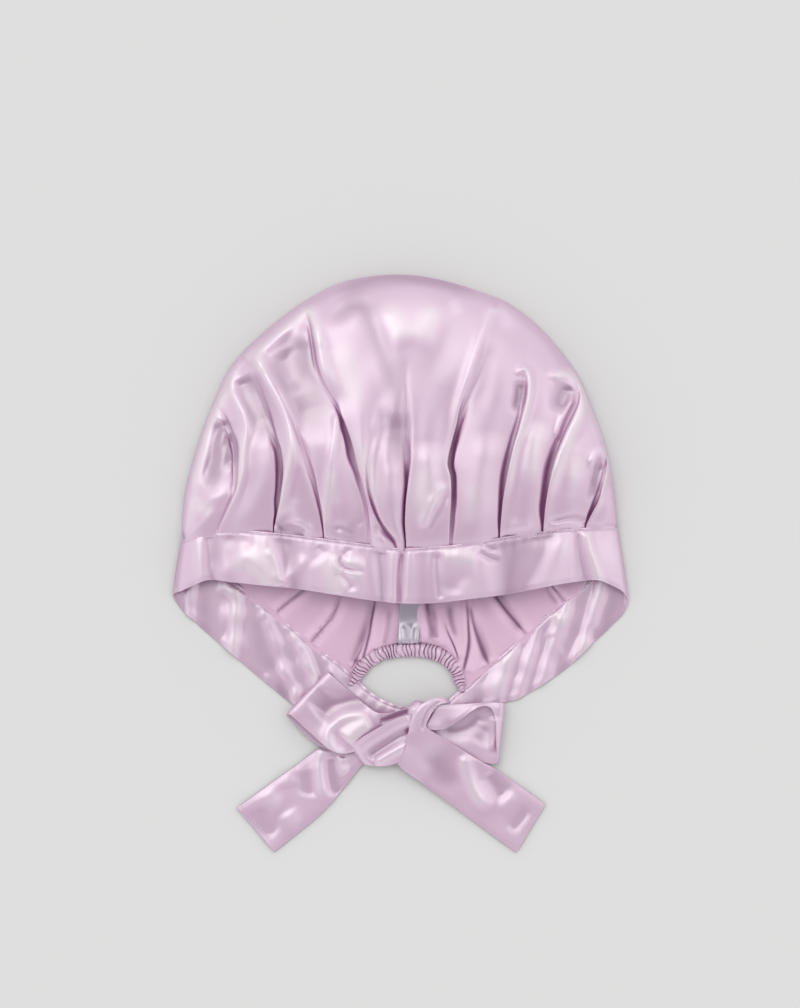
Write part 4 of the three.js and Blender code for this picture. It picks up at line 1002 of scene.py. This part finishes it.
def buildStrip():
    seam = traced(crown["seamLine"])
    brow = []
    for upX, upY, downX, downY in strip["brow"]:
        height = browHeightAt(shareNear(seam, at(upX, upY))) + 0.2 - strip["thickness"] / 2
        brow.append((upX, upY, downX, downY, height, height - 0.06 * (height - 4)))
    before = strip["leftTie"] + strip["left"] + strip["leftFold"]
    stations = before + brow + strip["rightFold"] + strip["right"] + strip["rightTie"]
    columns, rows = strip["columns"], strip["rows"]
    grid = loft(stations, columns, rows)
    # Where the brow begins and ends, as shares of the strip
    fine = catmull(stations, 40 * len(stations))
    run = lengths(fine[:, :4])
    turns = [len(before) - 0.5, len(before) + len(brow) - 0.5]
    marks = np.interp(turns, np.linspace(0, len(stations) - 1, len(fine)), run / run[-1])
    s = np.linspace(0, 1, columns)[:, None]
    front = smooth((s - marks[0] + 0.004) / 0.008) * smooth((marks[1] + 0.004 - s) / 0.008)
    xy, x, y = grid[..., :2], grid[..., 0], grid[..., 1]
    fall = np.linspace(0, 1, rows)[None]
    fall = 0.5 * fall + 0.5 * (0.5 - 0.5 * np.cos(math.pi * fall))
    onBrow = wavesAt(xy, strip["browWaves"], strip["browLean"], strip["browMiddle"])
    onBrow = onBrow * (0.5 + 0.5 * smooth(fall / 0.2)) + strokes(xy, browFolds)
    onSide = wavesAt(xy, strip["sideWaves"], strip["sideLean"], strip["sideMiddle"])
    onSide = onSide * (0.3 + 0.7 * smooth(fall / 0.2)) + strokes(xy, sideFolds)
    # The sewn edge puckers and a shallow groove lies under the stitches
    draw = np.random.default_rng(strip["seed"])
    phase = np.cumsum(draw.uniform(0.5, 1.6, columns))
    fromEdge = fall * np.linalg.norm(grid[:, -1] - grid[:, 0], axis=1)[:, None]
    pucker = np.sin(2 * math.pi * phase * 0.13)[:, None] * np.exp(-fromEdge / 5) * 0.28
    toStitches = fromEdge - np.where(front > 0.5, strip["browStitches"], strip["sideStitches"])
    groove = -0.3 * np.exp(-((toStitches / 0.7) ** 2))
    broad = 0.3 * ripple(x, y, 34, 21, stretch=1.6) + (1 - front) * 0.2 * ripple(x, y, 15, 22)
    lift = front * onBrow + (1 - front) * onSide + pucker + groove + broad * np.sin(math.pi * fall) ** 0.5
    # At the tips the strip stands on edge, so its waves die out there
    grid[..., 2] += lift * np.minimum(1, 1.2 * np.abs(normalsOf(grid)[..., 2]))
    grid[..., 2] = np.maximum(grid[..., 2], strip["lowest"])
    thick = strip["thickness"] * (1 + 0.5 * np.sin(math.pi * fall) ** 2)
    # the relief paints shade in low places and highlight on raised ones, with the painted shade five times as
    # strong in the stitch groove
    piece = ribbonMesh("band", grid, thick, satin, 1.4 * (lift - pucker) + 5 * groove)
    print("band made,", round(lengths(grid[:, rows // 2])[-1]), "mm long")
    return piece, grid, marks


bandPiece, bandGrid, bandMarks = buildStrip()
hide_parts("brow_band", "left_side_band", "right_side_band", "left_tie", "right_tie")
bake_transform(bandPiece)

# Bow
bow = {"lowest": 0.8, "rippleSize": 26, "rippleHeight": 0.16}
leftLoopShape = {
    "columns": 170, "rows": 40, "thickness": 0.9, "foldsFrom": 0.45,
    "stations": [
        (410, 712, 408, 726, 6.4, 6), (396, 714, 388, 742, 5, 4.6), (377, 712, 350, 752, 4, 4),
        (352, 692, 318, 745, 3.6, 3.7), (331, 674, 290, 719, 3.8, 4), (328.5, 671.5, 286.5, 715, 5.2, 5.2),
        (328, 671, 287.5, 713.5, 7.4, 7), (331.5, 674, 291, 715, 8.8, 8.4),
        (341, 682.5, 301, 724, 8.8, 8.6), (352, 692, 313, 735, 8.6, 8.6), (365, 703, 327, 747, 9, 8.6),
        (377, 711.5, 340, 753, 9.8, 8.4), (389, 712, 356, 751, 10.2, 7.2), (401, 709, 380, 744, 9.6, 6),
        (413, 706, 404, 734, 8.8, 5.6),
    ],
    "folds": [
        (3.4, 1.5, 0.2, 0.1, [(372, 712), (352, 714), (338, 720), (329, 731), (329, 743), (336, 752),
            (348, 753)]),
        (8, 2.2, 0.2, 0.2, [(372, 722), (356, 730), (346, 742)]),
        (6, -2.2, 0.2, 0.2, [(372, 702), (352, 700), (332, 707), (320, 722)]),
        (7, -1.4, 0.3, 0.3, [(330, 688), (324, 698), (312, 712)]),
        (3, -1.6, 0.15, 0.1, [(378, 722), (392, 717), (410, 711)]),
    ],
}
leftRollShape = {
    "columns": 100, "rows": 44, "thickness": 0.9,
    "stations": [
        (415, 712, 400, 762, 11.4, 7.6), (398, 717, 389, 765, 12.8, 7.2), (378, 727, 380, 766, 12.8, 7),
        (363, 736, 373, 765.5, 11.8, 6.8), (354, 742.5, 369.5, 765, 10, 6.4),
        (351, 746, 365, 764.5, 7.6, 5.2), (355, 747, 367, 764, 5.8, 4.4), (372, 742, 380, 760, 5, 4),
    ],
    "folds": [
        (4.6, -2.8, 0.05, 0.15, [(412, 730), (400, 734), (388, 742), (376, 750), (366, 758)]),
        (5, 1, 0.05, 0.15, [(412, 719), (398, 727), (380, 736), (364, 745), (354, 752)]),
        (3.2, 1.4, 0.1, 0.15, [(408, 744), (394, 751), (382, 758), (374, 763)]),
    ],
}
rightLoopShape = {
    "columns": 190, "rows": 40, "thickness": 0.9,
    "stations": [
        (440, 706, 426, 728, 6.2, 5.8), (455, 704.5, 444, 742, 5, 4.4), (474, 703, 470, 757, 4.2, 3.8),
        (492, 702.5, 487, 763, 4, 3.9), (502.5, 702, 496, 763.5, 4.8, 4.6),
        (504, 701.8, 497.5, 763, 6.4, 6), (503, 702, 496.8, 757, 8.6, 8.2), (501, 702, 495.5, 738, 9.4, 9),
        (497, 702, 494.8, 718, 9.4, 9.6), (491, 701.8, 490.5, 707.5, 9, 10),
        (482, 702, 482, 705.5, 8.6, 10.2), (472, 702.8, 471.5, 710.5, 8.4, 10.2),
        (462, 703.4, 459, 720, 8.4, 10.2), (453, 703.8, 446, 728, 8.6, 10), (444, 704, 431, 729.5, 9, 9.4),
        (438, 705, 424, 728, 9.2, 9),
    ],
    "folds": [
        (5.5, -2, 0.2, 0.2, [(438, 728), (452, 731), (466, 728), (478, 719), (486, 712)]),
        (2.6, 1, 0.1, 0.2, [(495, 716), (494.5, 732), (492, 752)]),
        (6, -1, 0.3, 0.3, [(476, 745), (482, 735), (486, 724)]),
    ],
}
rightTailShape = {
    "columns": 150, "rows": 44, "thickness": 1,
    "stations": [
        (450, 704, 448.5, 698, 5.5, 6.5), (446.5, 702.5, 442.5, 696.6, 9.6, 10),
        (440, 703.5, 433, 697.5, 12, 12), (434.5, 708, 423.5, 702, 13.4, 13),
        (430.5, 714, 415.5, 708, 13.7, 13), (427.5, 720, 411.8, 715, 13.3, 12.2),
        (426.3, 726, 410.5, 722, 12.4, 11.4), (432, 730.5, 408.5, 730, 11.2, 10.6),
        (443, 737, 404.5, 741, 9.4, 9.6), (458, 746.5, 400, 753, 7.2, 8.4),
        (475, 757, 399, 765.5, 5.2, 7.2), (494, 768, 422, 783, 3.2, 5), (513, 781, 452, 805, 1.9, 3),
        (530, 793, 484, 829, 1.6, 1.9), (545.5, 804, 516, 852.5, 1.5, 1.5),
    ],
    "folds": [
        (4.6, 1.9, 0.15, 0.3, [(464, 752), (467, 770), (472, 786), (481, 800), (494, 812)]),
        (11, -1.3, 0.35, 0.35, [(424, 742), (436, 762), (446, 780), (456, 798)]),
        (6, 1, 0.3, 0.3, [(404, 742), (414, 760), (430, 780)]),
        (6, -1.3, 0.2, 0.3, [(486, 770), (496, 785), (508, 800)]),
        (4, 0.6, 0.4, 0.4, [(498, 814), (508, 802), (518, 792)]),
        (4, -1.1, 0.3, 0.3, [(508, 834), (518, 820), (530, 805)]),
        (2.2, 0.9, 0.2, 0.2, [(410, 734), (414, 719), (422, 706), (434, 699)]),
        (1.8, -1.5, 0.2, 0.2, [(421, 732), (424, 718), (431, 707), (442, 700)]),
    ],
}
leftTailShape = {
    "columns": 140, "rows": 44, "thickness": 1,
    "stations": [
        (408, 716, 412, 734, 3.4, 3.6), (388, 718, 394, 744, 2.4, 2.6), (368, 724, 378, 756, 1.6, 2),
        (345, 734, 363, 764, 1.4, 2.2), (318, 749, 344, 788, 1.4, 1.8), (292, 768, 322, 813, 1.4, 1.4),
        (264, 788, 297, 834, 1.4, 1.3), (236.5, 808, 274, 852, 1.4, 1.3),
    ],
    "folds": [
        (4.6, 1.7, 0.1, 0.3, [(323, 746), (319.5, 768), (322, 788), (331, 804)]),
        (5, -1.8, 0.1, 0.3, [(332, 756), (333, 778), (338, 799)]),
        (4, 1.4, 0.15, 0.2, [(341, 756), (341, 766), (348, 773)]),
        (6, 0.9, 0.3, 0.3, [(292, 762), (288, 774), (292, 788)]),
        (6, -1.3, 0.3, 0.3, [(304, 770), (308, 784), (306, 798)]),
        (6, 0.9, 0.3, 0.3, [(264, 788), (272, 800), (284, 808)]),
        (6, -1, 0.3, 0.3, [(258, 806), (264, 822), (278, 836)]),
        (6, 0.8, 0.3, 0.3, [(286, 810), (294, 822), (300, 828)]),
    ],
}


def buildRibbon(name, look):
    grid = loft(look["stations"], look["columns"], look["rows"])
    lift = strokes(grid[..., :2], look["folds"])
    lift += bow["rippleHeight"] * ripple(grid[..., 0], grid[..., 1], bow["rippleSize"], len(name))
    if "foldsFrom" in look:  # the folds show on its upper half alone
        lift *= smooth((np.linspace(0, 1, look["columns"])[:, None] - look["foldsFrom"]) / 0.06)
    grid[..., 2] = np.maximum(grid[..., 2] + lift, bow["lowest"])
    print(name, "made,", round(lengths(grid[:, look["rows"] // 2])[-1]), "mm long")
    # the folds' heights also paint shade in low places and highlight on raised ones
    return ribbonMesh(name, grid, look["thickness"], satin, 1.3 * lift)


leftLoop = buildRibbon("leftLoop", leftLoopShape)
leftRoll = buildRibbon("leftRoll", leftRollShape)
rightLoop = buildRibbon("rightLoop", rightLoopShape)
rightTail = buildRibbon("rightTail", rightTailShape)
leftTail = buildRibbon("leftTail", leftTailShape)
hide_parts("bow_left_loop")
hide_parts("bow_right_loop")
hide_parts("right_tail_neck", "right_tail")
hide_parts("left_tail_neck", "left_tail")
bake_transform(leftLoop)
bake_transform(leftRoll)
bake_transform(rightLoop)
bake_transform(rightTail)
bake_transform(leftTail)

# Knot: the gathered core that the wrap goes round
knot = {"middle": (419, 714), "half": (8.4, 9.4, 4.6), "height": 6.2, "around": 72, "up": 36, "creases": 7}


def buildKnot():
    turn = np.linspace(0, 2 * math.pi, knot["around"], endpoint=False)[None]
    rise = np.linspace(-math.pi / 2, math.pi / 2, knot["up"])[:, None]
    swell = 1 + 0.025 * np.cos(knot["creases"] * turn + 2 * rise) * np.cos(rise)
    level = np.cos(rise) ** 0.8 * swell
    centre = at(*knot["middle"])
    grid = np.dstack([
        centre[0] + knot["half"][0] * level * np.cos(turn),
        centre[1] + knot["half"][1] * level * np.sin(turn),
        knot["height"] + knot["half"][2] * np.sin(rise) * swell,
    ])
    return sheetMesh("knot", grid, satin, wrap=True)


knotPiece = buildKnot()
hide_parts("bow_knot")
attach(knotPiece, "cap_back")

# Nape casing: a tube of cloth ruched on its elastic
# deep is a painted shade colour for the ruching's creases
ruchedSatin = cloth("ruchedSatin", {
    "color": (224, 184, 214), "deep": (96, 46, 86), "roughness": 0.45, "specular": 0.5, "coat": 0.9,
    "coatIor": 2.6, "coatRoughness": 0.34, "hollow": 1.5, "reach": 0.0024, "bump": 0.06,
})
casing = {
    "line": [
        (350, 685), (355.5, 677.5), (362, 668), (370, 660), (381, 654), (396, 650.6), (415, 650),
        (431, 652), (444, 657.4), (454, 666), (459, 678), (462, 691),
    ],
    "columns": 640, "rows": 36, "gathers": 36, "halfWidth": 4.7, "halfHeight": 2.2, "seed": 6,
    "narrowing": [(0, 0.4), (0.12, 0.95), (0.3, 1), (0.75, 1), (0.92, 0.86), (1, 0.4)],
}


def tubeGrid(path, side, out, up):  # a tube along the casing's path, from how far it reaches out and up
    return np.dstack([path[:, :1] + side[:, :1] * out, path[:, 1:] + side[:, 1:] * out, up])


def buildCasing():
    draw = np.random.default_rng(casing["seed"])
    gathers = casing["gathers"]
    share = np.linspace(0, 1, casing["columns"])
    path = along(traced(casing["line"]), share)
    ahead = np.gradient(path, axis=0)
    ahead /= np.linalg.norm(ahead, axis=1)[:, None]
    side = np.stack([-ahead[:, 1], ahead[:, 0]], axis=1)
    pitch = np.cumsum(draw.uniform(0.55, 1.45, gathers + 2))
    pitch = pitch / pitch[-1] * (gathers + 2)
    phase = np.interp(share * (gathers + 1), np.arange(gathers + 2), pitch)[:, None]
    sizes = draw.uniform(0.6, 1.25, gathers + 4)
    turn = np.linspace(0, 2 * math.pi, casing["rows"], endpoint=False)[None]
    wave = phase + (0.35 * np.sin(turn + 0.6) + 0.18 * np.sin(2 * turn + phase))
    ridge = np.abs(np.sin(math.pi * wave)) ** 0.4
    tall = np.interp(wave, np.arange(len(sizes)), sizes)
    swell = 0.56 + 0.5 * ridge * tall**0.5 + 0.04 * np.sin(2 * math.pi * wave * 2.3)
    out = casing["halfWidth"] * ease(casing["narrowing"], share)[:, None] * swell * np.cos(turn)
    up = casing["halfHeight"] * (0.8 + 0.25 * swell) * np.sin(turn) * swell
    grid = tubeGrid(path, side, out, np.maximum(casing["halfHeight"] + 0.2 + up, 0.05))
    return sheetMesh("casing", grid, ruchedSatin, wrap=True), path, side


casingPiece, casingPath, casingSide = buildCasing()
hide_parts("nape_casing")
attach(casingPiece, "cap_back")

# Elastic: a flat braid hidden in the casing
elastic = {"halfWidth": 1.6, "halfHeight": 0.4, "height": 2.4, "rows": 12, "ribs": 260, "ribHeight": 0.06}
# deep is a painted shade colour for its creases
elasticCloth = cloth("whiteElastic", {
    "color": (232, 227, 230), "deep": (190, 182, 188), "roughness": 0.7, "specular": 0.3, "hollow": 0.6,
    "weaveScale": 1.4,
})


def buildElastic():
    turn = np.linspace(0, 2 * math.pi, elastic["rows"], endpoint=False)[None]
    wave = np.linspace(0, 2 * math.pi * elastic["ribs"], len(casingPath))[:, None]
    rib = elastic["ribHeight"] * np.sin(wave)
    out = elastic["halfWidth"] * np.cos(turn)
    up = elastic["height"] + (elastic["halfHeight"] + rib) * np.sin(turn)
    return sheetMesh("elastic", tubeGrid(casingPath, casingSide, out, up), elasticCloth, wrap=True)


elasticPiece = buildElastic()
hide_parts("nape_elastic")
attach(elasticPiece, "cap_back")

# Label: left bare, sewn at its lower edge and standing a little off the back leaf
label = {
    "columns": 60, "rows": 30, "thickness": 0.3, "roundEdges": 0.2, "sewnColumn": 3,
    "stations": [
        (398.2, 643.5, 418.6, 643, 4.6, 4.6), (398.2, 638, 418.8, 637.5, 4.5, 4.6),
        (398.6, 631, 419.6, 631, 3.6, 3.8), (399, 624, 420.6, 624, 2.7, 2.9),
        (399.4, 616, 421.6, 616, 2.6, 2.7), (400, 605, 422.6, 605, 3.6, 3.6),
        (400.4, 594.5, 423.2, 594.5, 5, 5),
    ],
    "folds": [
        (1.7, 0.8, 0.1, 0.4, [(404, 643), (403.4, 632), (402, 622)]),
        (2, -0.9, 0.1, 0.4, [(410, 643), (411, 632), (412, 622)]),
        (1.7, 0.7, 0.1, 0.5, [(415.5, 643), (416, 632), (418, 622)]),
    ],
}
# deep is a painted shade colour for the label's folds
labelSatin = cloth("labelSatin", {
    "color": (152, 132, 162), "deep": (88, 70, 98), "roughness": 0.3, "specular": 0.8, "ior": 2.6,
    "bump": 0.2, "hollow": 0.6, "reach": 0.004, "weaveScale": 1.6,
})
labelGrid = loft(label["stations"], label["columns"], label["rows"], label["roundEdges"])
labelGrid[..., 2] += strokes(labelGrid[..., :2], label["folds"])
labelPiece = thicken(sheetMesh("label", labelGrid, labelSatin), label["thickness"])
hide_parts("sewn_label")
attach(labelPiece, "label")

# Stitches
# deep is a painted shade colour where the thread sinks into the cloth
thread = cloth("sewingThread", {
    "color": (231, 210, 226), "deep": (170, 128, 162), "roughness": 0.5, "specular": 0.6, "hollow": 0.3,
})
stitch = {
    "radius": 0.3, "length": 1.7, "pitch": 2.5, "unevenness": 0.08, "seed": 3, "sides": 6,
    # rings of one stitch: share of its length, share of its radius, how far it sinks into the cloth
    "rings": [(0, 0.35, 1.0), (0.18, 0.9, 0.35), (0.5, 1.0, 0), (0.82, 0.9, 0.35), (1, 0.35, 1.0)],
    "napeOut": 3.1, "napeHeight": 3.9, "labelRise": 0.15, "hemHeight": 2.3,
}


def stitchRow(name, line, ups, look):  # one capsule for each stitch along a line of places in mm
    draw = np.random.default_rng(look["seed"])
    run = lengths(line)
    sides, radius, last = look["sides"], look["radius"], len(look["rings"]) - 1
    turn = np.linspace(0, 2 * math.pi, sides, endpoint=False)[:, None]
    parts, faces = [], []
    for k in range(int(run[-1] / look["pitch"])):
        middle = (k + 0.5 + draw.uniform(-look["unevenness"], look["unevenness"])) * look["pitch"]
        start, end = (readAt(line, run, middle + half * look["length"]) for half in (-0.5, 0.5))
        up = readAt(ups, run, middle)
        ahead = (end - start) / max(np.linalg.norm(end - start), tiny)
        side = np.cross(up, ahead)
        first = len(parts) * sides
        for share, size, sink in look["rings"]:
            centre = start + share * (end - start) + up * radius * (0.45 - 1.1 * sink)
            parts.append(centre + size * radius * (np.cos(turn) * side + np.sin(turn) * up))
        for j in range(last):
            for i in range(sides):
                a, b = first + j * sides + i, first + j * sides + (i + 1) % sides
                faces.append((a, b, b + sides, a + sides))
        faces.append(tuple(range(first, first + sides))[::-1])
        faces.append(tuple(range(first + last * sides, first + (last + 1) * sides)))
    return meshPiece(name, np.vstack(parts), faces, thread)


def rowOn(distance, columns):  # a line of places on the band, that far from its sewn edge
    across = np.cumsum(np.linalg.norm(np.diff(bandGrid, axis=1), axis=2), axis=1)
    normal = normalsOf(bandGrid)
    line, ups = [], []
    for i in columns:
        k = min(int(np.searchsorted(across[i], distance)) + 1, bandGrid.shape[1] - 2)
        up = normal[i, k] * (1 if normal[i, k, 2] > 0 else -1)
        before = across[i, k - 2] if k > 1 else 0
        share = (distance - before) / max(across[i, k - 1] - before, tiny)
        place = bandGrid[i, k - 1] + np.clip(share, 0, 1) * (bandGrid[i, k] - bandGrid[i, k - 1])
        line.append(place + up * strip["thickness"] / 2)
        ups.append(up)
    return np.array(line), np.array(ups)


def upright(line):
    return np.repeat([[0.0, 0.0, 1.0]], len(line), axis=0)


browStart, browEnd = (int(round(mark * (strip["columns"] - 1))) for mark in bandMarks)
browRow = rowOn(strip["browStitches"], range(browStart + 8, browEnd - 7))
browStitches = stitchRow("browStitches", *browRow, stitch)
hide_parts("brow_seam_thread")
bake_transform(browStitches)
leftRow = rowOn(strip["sideStitches"], range(40, browStart - 14))
rightRow = rowOn(strip["sideStitches"], range(browEnd + 14, strip["columns"] - 40))
for name, row, node in (
    ("leftStitches", leftRow, "left_seam_thread"), ("rightStitches", rightRow, "right_seam_thread"),
):
    piece = stitchRow(name, *row, stitch)
    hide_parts(node)
    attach(piece, "cap_back")

napeLine = casingPath + casingSide * stitch["napeOut"]
napeLine = np.hstack([napeLine, np.full((len(napeLine), 1), stitch["napeHeight"])])[20:-20]
napeStitches = stitchRow("napeStitches", napeLine, upright(napeLine), {**stitch, "pitch": 2.2, "length": 1.4})
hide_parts("nape_thread")
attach(napeStitches, "cap_back")

labelLine = labelGrid[label["sewnColumn"]] + np.array([0, 0, stitch["labelRise"]])
labelStitches = stitchRow("labelStitches", labelLine, upright(labelLine), {**stitch, "pitch": 2.3})
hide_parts("label_thread")
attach(labelStitches, "label")

for name, ends, node, body in (
    ("leftHem", ((240.5, 805.5), (278.5, 848.5)), "left_hem_thread", "left_tail_end"),
    ("rightHem", ((541.5, 801.5), (511.5, 848.5)), "right_hem_thread", "right_tail_end"),
):
    hemLine = traced(np.linspace(*ends, 60))
    hemLine = np.hstack([hemLine, np.full((len(hemLine), 1), stitch["hemHeight"])])[2:-2]
    piece = stitchRow(name, hemLine, upright(hemLine), stitch)
    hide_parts(node)
    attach(piece, body)
print("knot, casing, label and stitches made")
